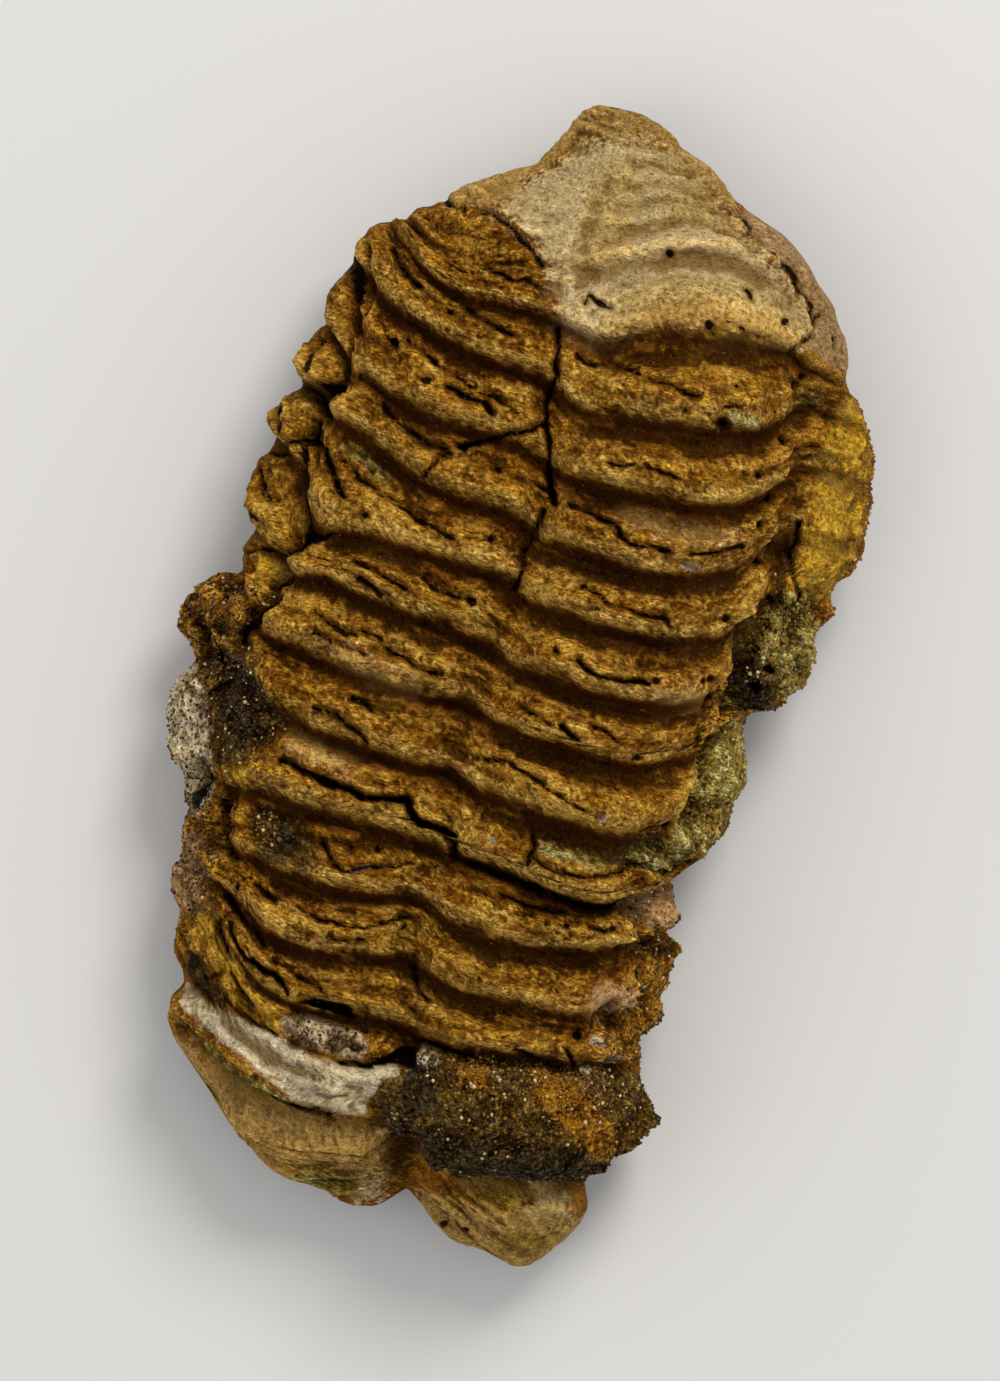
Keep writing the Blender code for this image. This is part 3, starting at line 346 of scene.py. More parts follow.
# Pits, painted dark inside as shade: middle and half lengths
PITS = (
    (-13.4, 24.7, 0.25, 0.2), (-10.8, 23.4, 0.35, 0.2), (-9.8, 23, 0.17, 0.17), (-14.1, 20.4, 0.3, 0.26),
    (-11.3, 18.3, 0.35, 0.2), (-7.6, 14.4, 0.3, 0.3), (-4.85, 13.5, 0.22, 0.22),
    (-4, 12.9, 0.15, 0.15), (-4.15, 8.7, 0.22, 0.22), (-13.2, 8, 0.22, 0.22), (-4.4, 4.1, 0.27, 0.27),
    (-18, 1, 0.45, 0.3), (-16.5, -2.4, 0.22, 0.22),
    (-8.5, -14.6, 0.22, 0.18), (-6.6, -14.4, 0.22, 0.18), (-3.45, -19.2, 0.18, 0.28),
    (-15.5, -19.2, 0.14, 0.3), (-1.8, 8.4, 0.35, 0.35), (6.9, 26.8, 0.3, 0.22), (9.4, 20.5, 0.5, 0.38),
    (12.8, 22.1, 0.22, 0.26), (6.8, 20.7, 0.2, 0.2), (6.8, 23.1, 0.17, 0.17), (9.85, 23.2, 0.17, 0.17),
    (12.8, 17.4, 0.27, 0.2), (14.4, 16.2, 0.4, 0.4), (13.7, 14.2, 0.3, 0.3), (9.3, 5.9, 0.22, 0.22),
    (9, 5.1, 0.17, 0.17), (13.1, 7.3, 0.17, 0.17), (2.1, 2.3, 0.27, 0.27), (9.3, 2, 0.22, 0.22),
    (12.5, 2.6, 0.22, 0.22), (13, 2.9, 0.22, 0.22), (13.9, 1.6, 0.5, 0.4), (9.4, -3.7, 0.37, 0.22),
    (14.3, -1.6, 0.5, 0.4), (12.8, -7.8, 0.5, 0.4), (12.5, -10.9, 0.4, 0.3), (6, -16.5, 0.22, 0.18),
    (7.5, -16.3, 0.22, 0.18), (10.7, -15.7, 0.22, 0.22), (10, -23.5, 0.35, 0.4), (3.2, 31, 0.27, 0.22),
    (12, 28.4, 0.37, 0.22), (13.6, 30.8, 0.22, 0.22), (14.3, 29.4, 0.17, 0.17), (15.8, 28.3, 0.22, 0.22),
    (14, 24.3, 0.35, 0.35), (14.5, 25.1, 0.22, 0.22), (14.1, 20.3, 0.4, 0.3), (17.1, 19.5, 0.3, 0.16),
    (14.5, 16, 0.4, 0.3), (15.7, 9.4, 0.3, 0.4), (14.6, 11.8, 0.35, 0.3),
    (4.2, -38.8, 0.22, 0.22), (5.8, -38.8, 0.22, 0.22), (17, 4.5, 0.5, 0.3), (18, 3, 0.3, 0.3),
    (16.4, 3, 0.4, 0.5),
)

# Gaps between broken plates, painted black inside as shade
HOLES = (
    ((-3.6, -28.7), (-2.5, -28.2), (-1.9, -27.2), (-0.5, -26.9), (-0.4, -28.5), (-2, -28.5)),
    ((-9.5, -26), (-8.4, -25.5), (-7.2, -25.3), (-5.9, -25.5), (-5.3, -26.1), (-6.2, -26.2), (-7.8, -26)),
    ((-18.2, 16.5), (-16.7, 16.7), (-16.7, 16.1), (-17.5, 15.9), (-17.5, 14.7), (-17.9, 14.4),
     (-18.4, 14.4), (-18.2, 15.5)),
    ((-17.2, 6.8), (-16, 6.1), (-14.6, 6.6), (-15.9, 5.6), (-16.9, 5.1)),
    ((-20.4, -11.6), (-20, -11.6), (-20, -14.8), (-20.4, -14.8)),
)

# The glabella, a swollen lump of dark sand that stands out of the head
GLABELLA = ((-1.0, -26.9), (1, -26.5), (3, -26.2), (6, -25.9), (9, -25.7), (12, -25.1), (14.8, -25.2),
            (17.2, -28.2), (15.9, -30), (13.9, -32.4), (12.5, -33.6), (10, -34.4), (7, -35.1),
            (3, -35.2), (1, -34.8), (-0.5, -33.8), (-1.8, -32.8), (-3, -31), (-1.7, -29.3))
GLABELLA_RISE = 1.5
GLABELLA_SHOULDER = 3.2
# Valleys between the rings of the tail, and the one along the side of its raised middle
RING_VALLEYS = (
    ((-1.6, 28.6), (1, 29.8), (4, 31), (7.6, 31.4), (9.6, 30.6)),
    ((-1.5, 31), (1.5, 32.6), (4.2, 33.7), (7.2, 33.8), (8.6, 32.9)),
    ((-1, 33.2), (2, 34.5), (5, 35.2), (6.6, 34.9)),
    ((-0.8, 34.9), (2, 36), (4.6, 36.3)),
    ((-0.6, 36.4), (1.8, 37.3), (3.4, 37.3)),
)
TAIL_VALLEYS = (*RING_VALLEYS, ((-2.2, 27.4), (-2.9, 30), (-2.6, 32.6), (-2.2, 34.4)))

# Depths, heights and widths of the fine relief, and how far from a line it is looked for
LINE_REACH = 1.4
CRACK_DEPTH, CRACK_LIP = 1.1, 0.16
FURROW_HALF_WIDTH, FURROW_DEPTH, FURROW_LIP = 0.1, 0.5, 0.2
LIP_HALF_WIDTH, LIP_HEIGHT, LIP_WALL = 0.1, 0.34, 0.5
HOLE_DEPTH = 1.3
TAIL_VALLEY_DEPTH, TAIL_VALLEY_WALL = 0.8, 1.2
PIT_DEPTH_TO_WIDTH = 2.4
WANDER, WANDER_LENGTH = 0.17, 1.1
FLAKE_LEVELS, FLAKE_STEP = (-0.45, -0.25, -0.05, 0.15, 0.35), 0.2
# Lumpy layers: height on plain stone, height that crust adds, lump size, octaves and seed
LUMPY_LAYERS = ((0.16, 0.4, 2.3, 3, 5), (0.08, 0.26, 0.9, 3, 6), (0.08, 0, 0.4, 2, 8))
# How crusty the flanks and the underside are
FLANK_CRUST, BELLY_CRUST = 0.75, 0.6

# Patches of colour or of rough grain, by kind, as outlines seen from above
PATCHES = {
    "cream": (
        ((-9.6, 31.1), (-8, 33.5), (-6, 35.5), (-4.6, 37.4), (-1, 38.6), (2, 38), (5, 36.6), (7, 34.8),
         (9.5, 32.8), (12, 30.6), (14, 28.9), (13.6, 27.6), (11, 28.4), (8, 28.7), (4, 28.3), (2, 26.6),
         (0.8, 24.8), (-1, 23.4), (-3, 24), (-4.2, 26.4), (-5, 28.2), (-6.5, 29.6), (-8, 30.5)),
        ((9.5, -34.4), (12.4, -34.6), (12.8, -36.4), (9.6, -36.6)),
        ((-2.3, -36.6), (-0.6, -36.8), (-0.4, -38.4), (-2.2, -38.8)),
    ),
    "buff": (
        ((10, 0.5), (13, 0.7), (12.8, 2), (10.2, 1.9)),
        ((-14.5, -8.2), (-12, -8), (-9.6, -8.9), (-9.8, -9.8), (-12, -9.6), (-14.4, -9.4)),
        ((4, 12.4), (8, 11.6), (12.6, 12.6), (12.2, 13.4), (8, 12.6), (4.4, 13.2)),
        ((-12.6, -0.9), (-7, -2.2), (-6.8, -3.2), (-10, -2.9), (-13, -2)),
        ((-0.5, 23.6), (1, 24.6), (4, 26.2), (8, 27), (12.6, 26.2), (14, 27.4), (13, 29.4), (10, 30.4),
         (6.6, 30.4), (3, 29.2), (0.6, 27.6)),
        ((2, 33), (6, 34.2), (8.6, 33), (7.4, 34.6), (4.6, 36.6), (1.6, 36.4)),
        ((-3.4, 28.4), (-1, 28.6), (0.4, 31), (0.2, 35), (-1.2, 37.2), (-2.8, 36), (-3.6, 32)),
        ((-20, -31), (-16.6, -30.8), (-13, -32.9), (-9, -33.6), (-4, -33.5), (-1.5, -34), (-0.8, -36),
         (-2.5, -37), (-6, -37), (-8, -38), (-9.5, -40), (-16, -37)),
        ((2, -35.8), (6, -35.8), (12, -35.4), (15, -36.8), (12, -42), (6, -42), (2.4, -39.4)),
        ((-13.6, 31), (-12, 30.8), (-9.6, 31.1), (-8, 33.5), (-6, 35.5), (-4.6, 37.4), (-1, 38.4),
         (2, 37.6), (6, 35.6), (8, 36), (3, 41), (-6, 42), (-8, 36.5), (-11, 34.6)),
    ),
    "pink": (
        ((7.1, 35.2), (9.1, 33.4), (11.5, 31.6), (13.5, 29.9), (14.3, 29), (14.2, 28), (13.5, 27.3),
         (15.5, 26.2), (19, 26), (18, 30), (15, 34), (11, 36.4), (8, 37)),
        ((-20.4, -16.2), (-19.2, -16.3), (-18.6, -17.5), (-18, -19), (-17.4, -20.5), (-17.4, -21.3),
         (-18.2, -22.2), (-19.6, -21.5), (-20.6, -20), (-20.4, -18)),
        ((10.3, -19.6), (13, -19.4), (13.3, -21.4), (12, -22.4), (10.4, -22)),
        ((12, -11.6), (14.4, -12), (14.6, -14.4), (12.6, -15)),
    ),
    "grey": (
        ((-17.5, -26.7), (-15.9, -27.6), (-14.8, -27.9), (-13, -28), (-10.2, -28.7), (-8.7, -29),
         (-7.8, -29.4), (-5.6, -29.4), (-4.7, -29.2), (-3.6, -29.3), (-2.2, -28.5), (-1.3, -29),
         (-2.5, -30.2), (-3, -31.2), (-3, -32.4), (-4.9, -33.1), (-7.6, -33.2), (-8.6, -32.5),
         (-10.2, -31.7), (-11.8, -30.9), (-13.3, -30.2), (-14.9, -29.7), (-16.2, -28.9), (-17.4, -27.8)),
        ((-22.9, -4.6), (-21, -6.8), (-20, -9.5), (-19.3, -11.5), (-19, -13.5), (-19, -15), (-20.6, -15),
         (-21.6, -12.6), (-23, -10), (-24, -7.4)),
        ((-0.3, -26.8), (1, -26.8), (1, -28), (-0.3, -28)),
    ),
    "olive": (
        ((-15.9, 12.9), (-14, 12.4), (-12.3, 11.5), (-12, 10.5), (-12.8, 10.7), (-14.5, 11.6), (-15.8, 12.3)),
        ((4.2, -10.8), (8, -10.7), (11.8, -9.8), (14.6, -8), (15.2, -8.6), (12.4, -10.9), (8, -11.8),
         (4.4, -11.8)),
        ((10, 20.4), (12, 20.6), (12.2, 21.6), (10, 21.4)),
        ((-17.6, -29.6), (-15, -31.8), (-12, -33.4), (-8.4, -33.8), (-8.6, -32.8), (-12.4, -31.6),
         (-15.4, -30.3), (-17.4, -28.8)),
        ((14.6, 0.6), (16.4, 0.4), (17.4, -3.4), (16.6, -8), (14, -10.4), (13.2, -8), (14, -4)),
        ((15, 1.4), (17, 1.2), (20, 4), (20.2, 8), (19.4, 10.6), (16, 10), (14.8, 7)),
        ((8.4, -38), (12, -37.9), (11.6, -39.4), (8.6, -39.4)),
        ((-8, -37.7), (-6, -37), (-4.8, -36.8), (-3.3, -36.8), (-2.6, -37.4), (-2.2, -38.3), (-3.5, -38.6),
         (-6, -38.3)),
    ),
    "moss": (
        ((-21.8, -3.5), (-19.5, -2.8), (-18, -4), (-17, -5.5), (-15.5, -6.8), (-14.5, -7.5), (-15.5, -9),
         (-17, -9.8), (-16.8, -11), (-18, -11), (-19.2, -11.5), (-20.8, -9), (-21.3, -7), (-22.4, -4.5)),
        ((-18.2, -24), (-16.8, -24.3), (-15.5, -25.7), (-14.6, -26.8), (-14, -27.9), (-15.5, -27.8),
         (-16.8, -26.9), (-17.6, -25.8)),
        ((11.5, 25.3), (12.6, 25.4), (12.6, 26.4), (11.5, 26.3)),
        ((14.4, 24.6), (16, 24.2), (16.3, 22.8), (14.6, 23)),
        ((-15.8, -13), (-12, -13.4), (-10.5, -15.2), (-11, -17.2), (-14.5, -17), (-15.8, -15)),
        GLABELLA,
        ((13, -15), (15.9, -15.4), (15.6, -17), (13.2, -16.8)),
        ((14.2, 2), (17, 1.2), (18.6, 2.4), (17, 4), (15.5, 7.4), (14.6, 6)),
        ((-0.5, -33.5), (0.9, -33.7), (1.1, -36.4), (0, -36.4)),
        ((-19.9, 16.4), (-16.7, 16.7), (-17.5, 14.7), (-18.4, 14.4), (-20.2, 15.4)),
    ),
    # Near-black patches: dark crust, and painted shade on the glabella's lower half
    "dark_crust_and_shade": (
        ((-2.5, -31), (0, -32.2), (4, -31.8), (9, -31.6), (13, -30.8), (15.8, -29.4), (13.9, -32.4),
         (12.5, -33.6), (10, -34.4), (7, -35.1), (3, -35.2), (1, -34.8), (-0.5, -33.8), (-1.8, -32.8)),
        ((-1, -28), (1.4, -27.6), (2, -31), (-1, -32)),
        ((-18.2, -24.2), (-16.8, -24.5), (-15.5, -25.9), (-14.4, -27.4), (-16.8, -26.9), (-17.6, -25.8)),
        ((-21.4, -3.6), (-19.5, -3.2), (-18, -4.6), (-17, -6), (-16.2, -8), (-17.4, -9.8), (-18.6, -9),
         (-20, -7.4)),
        ((14.4, 2.2), (16.6, 1.4), (18.6, 2.2), (17.2, 3.4), (15.4, 3.8), (14.8, 5.4)),
        ((-14.6, -14), (-12, -14.4), (-11.4, -15.8), (-13.4, -16.4)),
    ),
    "orange": (
        ((7.5, -26.3), (11, -26.8), (13.5, -28.8), (13.8, -30), (12.5, -31), (10.5, -29.8), (8, -28.5)),
        ((2, -27.4), (4.4, -27.2), (5, -28.6), (3, -29)),
        ((-4, -26.9), (-2.3, -27), (-2.3, -28.4), (-4, -28.5)),
        ((1.5, -35), (5, -35.1), (5, -36.8), (1.6, -36.8)),
    ),
    "yellow": (
        ((16.4, 10.5), (20.4, 10.6), (21.2, 14), (20.6, 19), (19.4, 23), (17.6, 24.6), (16.8, 20), (17, 15)),
        ((-18.4, -11.3), (-17, -11.2), (-16.9, -12.3), (-18.2, -12.4)),
        ((-19.7, 2.4), (-18.3, 2.5), (-18.4, 3.7), (-19.6, 3.6)),
        ((6.9, -24.2), (8.2, -24.2), (8.3, -25.1), (7, -25.2)),
        ((7.4, 26.2), (10.6, 26.3), (10.4, 26.7), (7.5, 26.6)),
        ((-17.4, -21.5), (-15.4, -23), (-13.4, -25.2), (-10, -28.1), (-10.2, -28.6), (-13.8, -26),
         (-16, -23.8), (-17.6, -22.3)),
        ((4, -35.4), (9, -35.4), (9, -36.7), (4.2, -36.7)),
    ),
    "white": (
        ((-10.2, -27.2), (-8, -26.7), (-5, -27), (-3.9, -27.6), (-4.2, -29), (-6, -29), (-8.5, -28.9),
         (-10, -28.4)),
        ((10.9, -23.2), (11.7, -23.2), (11.7, -23.9), (10.9, -23.9)),
        ((12.1, -24.2), (12.9, -24.2), (12.9, -25), (12.1, -25)),
        ((10.6, -25.3), (11.4, -25.3), (11.4, -26), (10.6, -26)),
        ((9, 9.8), (10.5, 9.9), (10.4, 10.5), (9.1, 10.4)),
        ((7.7, -8.1), (8.3, -8.1), (8.3, -8.6), (7.7, -8.6)),
        ((0.8, -11.4), (1.3, -11.4), (1.3, -11.9), (0.8, -11.9)),
        ((-8.2, -16.05), (-6.9, -15.4), (-6.8, -15.75), (-8, -16.4)),
    ),
    "crust": (
        ((17.8, 26), (17.2, 20), (16.8, 14), (15.6, 12), (15, 6), (14.6, 0), (14, -8), (13.6, -11),
         (20, -11), (24, 12), (20, 26)),
        ((-24.5, 3), (-19.4, 2.2), (-18.6, -2), (-16, -5.4), (-14.6, -7.4), (-16, -11), (-18.6, -13),
         (-18.8, -16), (-22, -16), (-26, -4)),
        GLABELLA,
        ((-10.2, -26.8), (-4, -26.6), (-2.2, -27), (-2.2, -28.5), (-4, -29.1), (-10.2, -29)),
        ((-15.8, -13.2), (-12.5, -13.2), (-12.5, -15.8), (-15.8, -15.8)),
        ((-19, -16.5), (-16.8, -16.5), (-16.8, -19.5), (-19, -19.5)),
    ),
}
PATCH_SOFTNESS = {"cream": 2.0, "buff": 1.6, "pink": 0.9, "grey": 0.5, "olive": 0.8, "moss": 1.0,
                  "dark_crust_and_shade": 1.4, "orange": 1.2, "yellow": 1.7, "white": 0.35, "crust": 1.0}

# Each colour layer of the stone, in the order laid on: the mask, two colours that its
# grain wavers between, how ragged its edge is and how much of it shows
LAYERS = (
    ("crest", "865c16", "b48430", 0.6, 0.35),
    ("cream", "e8c684", "fde8b4", 1.0, 0.9),
    ("buff", "cfa352", "f2cf84", 1.0, 0.75),
    # darker olive-tan in the tail's valleys: partly its own tone, partly painted shade
    ("rings", "94702e", "c09a58", 1.2, 0.4),
    ("pink", "b88e5c", "e2bf90", 0.4, 0.88),
    ("yellow", "dca01c", "fbd04e", 0.5, 0.92),
    ("olive", "967a24", "c8aa48", 0.6, 0.85),
    ("moss", "36260a", "7a5612", 0.5, 0.92),
    # near-black: dark crust, and painted shade on the glabella's lower half
    ("dark_crust_and_shade", "140d04", "3c2a0c", 0.5, 0.9),
    ("orange", "9a5808", "cc7c12", 0.6, 0.88),
    ("grey", "e4d0a2", "fff4d6", 0.3, 0.96),
    ("white", "d4b48c", "f8e8cc", 0.4, 0.97),
)
DEEP_OCHRE, OCHRE, LIGHT_OCHRE = "723c06", "b06a0c", "d89426"
# In order: painted shadow below each rib, painted shade in the grooves, grime with painted shade in hollows,
# and painted black shade inside cracks
SHADE_BROWN, GROOVE_SHADE_BROWN, DIRT_AND_SHADE_BROWN, CRACK_SHADE_BLACK = "743e06", "4c2404", "3a1c04", "0c0301"
PALE_DIRT_AND_SHADE = "a67c3c"
# What ochre and pale stone are multiplied by for painted highlights and for painted shade
OCHRE_HIGHLIGHT, OCHRE_SHADE = (1.6, 1.9, 3.0, 1), (0.25, 0.2, 0.2, 1)
PALE_HIGHLIGHT, PALE_SHADE = (1.45, 1.42, 1.3, 1), (0.72, 0.68, 0.62, 1)
# The layers that count as pale, and how much
PALE_LAYERS = (("cream", 1.0), ("grey", 0.8), ("yellow", 0.8), ("white", 1.0), ("pink", 1.0), ("buff", 0.8))
# The light specks are painted glints
DARK_SPECK, GLINT_SPECK = "2b1c0a", "e6c88a"
STONE_BUMP, STONE_GLOSS = 0.55 * MM, 0.04

# Mesh: steps along the outline, rows from tail to head and columns across
OUTLINE_STEP, FINE_OUTLINE_STEP = 0.25, 0.05
POLES = 2
TAIL_ROWS = 100
SEGMENT_ROWS = 22
HEAD_ROWS = 95
BACK_COLUMNS = 195
BELLY_COLUMNS = 22
EVEN_SHARE = 0.5
EDGE_CROWDING = 0.45

# Sand grains set on the crust
GRAIN_COUNT = 6500
GRAIN_WANDER = 0.5 * MM
GRAIN_RADIUS = (0.08 * MM, 0.18 * MM)
GRAIN_SINK = 0.2
LOWEST_GRAIN = 5 * MM
GRAIN_BLACK, GRAIN_BROWN, GRAIN_OCHRE, GRAIN_QUARTZ = "0e0802", "5a3c0a", "b08428", "ecd296"
GRAIN_ORANGE, GRAIN_OLIVE, GRAIN_DARK_AND_SHADED, GRAIN_MOTTLE = "c8861a", "b89a3c", "180f04", "5a3c10"
GRAIN_BUMP, GRAIN_GLOSS = 0.05 * MM, 0.35

# Camera over the stone, turned as the body lies in the picture
PICTURE_TURN = math.radians(14)
PICTURE_TALL = 96.67 * MM
CAMERA_OVER = (0.395 * MM, -1.323 * MM)
CAMERA_DISTANCE = 2.0
SHARPEST_PLANE = 14 * MM
SENSOR = 36

# Studio: each light's way in the picture, distance, size, power and tint, then the sky and floor
LIGHTS = (
    ("key_light", (0.42, 0.75, 1.05), 0.8, 0.32, 3.05, (1, 0.98, 0.95)),
    ("fill_light", (-0.7, -0.2, 1.1), 0.9, 0.6, 0.7, (0.97, 0.98, 1)),
)
SKY_TINT, SKY_POWER = (0.96, 0.97, 1, 1), 0.555
FLOOR_TONE, FLOOR_HALF = (0.80, 0.785, 0.75, 1), 3.0


def spline(keys, values, places):
    """Smooth values at the places, through rows of values that stand at rising keys."""
    keys = np.asarray(keys, float)
    values = np.asarray(values, float)
    places = np.clip(places, keys[0], keys[-1])
    slopes = np.diff(values, axis=0) / np.diff(keys).reshape((-1,) + (1,) * (values.ndim - 1))
    tangents = np.concatenate([slopes[:1], (slopes[1:] + slopes[:-1]) / 2, slopes[-1:]])
    at = np.clip(np.searchsorted(keys, places, side="right") - 1, 0, len(keys) - 2)
    span = keys[at + 1] - keys[at]
    t = (places - keys[at]) / span
    shape = t.shape + (1,) * (values.ndim - 1)
    t, span = t.reshape(shape), span.reshape(shape)
    start = (1 + 2 * t) * (1 - t) ** 2 * values[at] + t * (1 - t) ** 2 * span * tangents[at]
    end = t * t * (3 - 2 * t) * values[at + 1] + t * t * (t - 1) * span * tangents[at + 1]
    return start + end


def smoothstep(low, high, value):
    t = np.clip((value - low) / (high - low), 0, 1)
    return t * t * (3 - 2 * t)


def rounded(points, step):
    """A closed smooth line through the points, with a point about every step."""
    points = np.asarray(points, float)
    around = np.vstack([points[-2:], points, points[:3]])
    keys = np.concatenate([[0], np.cumsum(np.linalg.norm(np.diff(around, axis=0), axis=1))])
    first, last = keys[2], keys[2 + len(points)]
    places = np.linspace(first, last, int((last - first) / step), endpoint=False)
    return spline(keys, around, places)


def distance_to(line, x, y, reach=None):
    """How far each point is from a line of straight runs. Points beyond reach are left far."""
    line = np.asarray(line, float)
    nearest = np.full(np.shape(x), 99.0)
    near = np.ones(np.shape(x), bool)
    if reach is not None:
        low, high = line.min(axis=0) - reach, line.max(axis=0) + reach
        near = (x > low[0]) & (x < high[0]) & (y > low[1]) & (y < high[1])
    px, py = x[near], y[near]
    found = nearest[near]
    for (ax, ay), (bx, by) in zip(line[:-1], line[1:]):
        along_x, along_y = bx - ax, by - ay
        length = max(along_x**2 + along_y**2, 1e-12)
        t = np.clip(((px - ax) * along_x + (py - ay) * along_y) / length, 0, 1)
        found = np.minimum(found, np.hypot(px - ax - t * along_x, py - ay - t * along_y))
    nearest[near] = found
    return nearest


def inside(outline, x, y):
    """Whether each point is inside a closed outline."""
    crossings = np.zeros(np.shape(x), int)
    for (ax, ay), (bx, by) in zip(outline, np.roll(outline, -1, axis=0)):
        spans = (ay > y) != (by > y)
        if ay != by:
            crossings += spans & (x < ax + (y - ay) * (bx - ax) / (by - ay))
    return crossings % 2 == 1


def lines_across():
    return np.array(TAIL_LINES + GROOVES + HEAD_LINES, float)


def line_places():
    """Where the mesh's rows stand, counted in lines across the stone, tail to head."""
    last = len(lines_across()) - 1
    even = np.linspace(0, 1, TAIL_ROWS + 1)[1:-1]
    crowded = 1 - np.cos(even * np.pi / 2)
    tail = FIRST_GROOVE * (EVEN_SHARE * even + (1 - EVEN_SHARE) * crowded)
    segments = np.arange(FIRST_GROOVE, LAST_GROOVE, 1 / SEGMENT_ROWS)
    head = LAST_GROOVE + (last - LAST_GROOVE) * np.sin(np.linspace(0, np.pi / 2, HEAD_ROWS + 1)[:-1])
    return np.concatenate([tail, segments, head])


def row_ends(curve, outline, centre, side):
    """The X at which each row's curve leaves the outline, going from the centre to one side."""
    far = np.linspace(0, 1, 160)[1:]
    limit = COLUMNS[0] - 1 if side < 0 else COLUMNS[-1] + 1
    x = centre[:, None] + (limit - centre[:, None]) * far
    within = inside(outline, x, curve(x))
    first_out = np.argmin(within, axis=1)
    rows = np.arange(len(centre))
    low = np.where(first_out > 0, x[rows, first_out - 1], centre)
    high = x[rows, first_out]
    for _ in range(14):
        middle = (low + high) / 2
        is_in = inside(outline, middle, curve(middle[:, None])[:, 0])
        low, high = np.where(is_in, middle, low), np.where(is_in, high, middle)
    return low


def plan_rows(outline):
    """X and Y of the back's mesh points in plan: one row for each line place."""
    places = line_places()
    table = spline(np.arange(len(lines_across())), lines_across(), places)

    def curve(x):
        return np.array([spline(COLUMNS, row, line_x) for row, line_x in zip(table, x)])

    along = places / places[-1]
    centre = TAIL_TIP[0] + (HEAD_NOTCH[0] - TAIL_TIP[0]) * along
    left = row_ends(curve, outline, centre, -1)
    right = row_ends(curve, outline, centre, 1)
    even = np.linspace(0, 1, BACK_COLUMNS)
    crowded = (1 - np.cos(np.pi * even)) / 2
    share = even + EDGE_CROWDING * (crowded - even)
    x = left[:, None] + (right - left)[:, None] * share
    return x, curve(x), places


def grid_height(x, y):
    """Height of the back before its edges roll down."""
    rows = spline(HEIGHT_ROWS[::-1], np.array(HEIGHTS, float)[::-1], np.ravel(y))
    flat_x = np.clip(np.ravel(x), HEIGHT_COLUMNS[0], HEIGHT_COLUMNS[-1])
    heights = np.empty(len(rows))
    for column in range(len(HEIGHT_COLUMNS) - 1):
        low, high = HEIGHT_COLUMNS[column], HEIGHT_COLUMNS[column + 1]
        here = (flat_x >= low) & (flat_x <= high)
        t = smoothstep(low, high, flat_x[here]) * 0.5 + (flat_x[here] - low) / (high - low) * 0.5
        heights[here] = rows[here, column] * (1 - t) + rows[here, column + 1] * t
    return heights.reshape(np.shape(x))


def segment_relief(x, places):
    """How far the segments stand up or dip, by where a point is between two grooves."""
    t = places - np.floor(places)
    pleura = spline(SECTION_PLACES, PLEURA_SECTION, t)
    ring = spline(SECTION_PLACES, RING_SECTION, t)
    on_ring = smoothstep(RING_FROM_X, RING_FULL_X, x)
    across = np.interp(x, HEIGHT_COLUMNS, RELIEF_AT_COLUMNS)
    along = np.interp(places, RELIEF_LINES, RELIEF_ALONG)
    return (pleura + on_ring * (ring - pleura)) * across * along


def trench(x, y, course, half_width, depth, wall):
    away = distance_to(course, x, y, half_width + wall)
    return -depth * (1 - smoothstep(half_width, half_width + wall, away))


def lump(x, y, middle, half_lengths, turn, height):
    angle = np.radians(turn)
    dx, dy = x - middle[0], y - middle[1]
    along = (dx * np.cos(angle) + dy * np.sin(angle)) / half_lengths[0]
    across = (dy * np.cos(angle) - dx * np.sin(angle)) / half_lengths[1]
    return height * (1 - smoothstep(0, 1, np.hypot(along, across)))


def roll(share):
    """From 0 at the edge to 1 where the surface has turned level, like a quarter circle."""
    return np.sqrt(1 - (1 - np.clip(share, 0, 1)) ** 2)


def normals(points):
    down = np.gradient(points, axis=0)
    across = np.gradient(points, axis=1)
    upward = np.cross(down, across)
    upward /= np.maximum(np.linalg.norm(upward, axis=2, keepdims=True), 1e-9)
    upward = np.dstack([blurred(upward[..., axis], 3) for axis in range(3)])
    return upward / np.maximum(np.linalg.norm(upward, axis=2, keepdims=True), 1e-9)


def rough(points, size, octaves, seed):
    """Irregular values, about -1 to 1, whose lumps are of the given size in millimetres."""
    shift = Vector((17.3 * seed, 5.1 * seed, 9.7 * seed))
    flat = points.reshape(-1, 3).tolist()
    values = [noise.fractal(Vector(p) / size + shift, 0.8, 2.1, octaves) for p in flat]
    return np.array(values).reshape(points.shape[:-1])


def grains(points, size, seed):
    """Round grains packed side by side: 1 on top of a grain, 0 between grains."""
    shift = Vector((7.9 * seed, 13.1 * seed, 3.7 * seed))
    flat = points.reshape(-1, 3).tolist()
    nearest = np.array([noise.voronoi(Vector(p) / size + shift)[0][0] for p in flat])
    return np.clip(1 - (nearest / 0.62) ** 2, 0, 1).reshape(points.shape[:-1])


def rubble(points, size, seed):
    """Blocky rubble: a level of its own, 0 to 1, for each broken piece."""
    shift = Vector((3.1 * seed, 11.7 * seed, 6.3 * seed))
    flat = points.reshape(-1, 3).tolist()
    levels = [noise.cell(noise.voronoi(Vector(p) / size + shift)[1][0] * 7.0) for p in flat]
    return np.array(levels).reshape(points.shape[:-1])


def edge_distance(outline, x, y):
    """How far each point is from the stone's edge."""
    tree = kdtree.KDTree(len(outline))
    for place, (px, py) in enumerate(outline):
        tree.insert((px, py, 0), place)
    tree.balance()
    found = [tree.find((px, py, 0))[2] for px, py in zip(x.ravel().tolist(), y.ravel().tolist())]
    return np.array(found).reshape(x.shape)


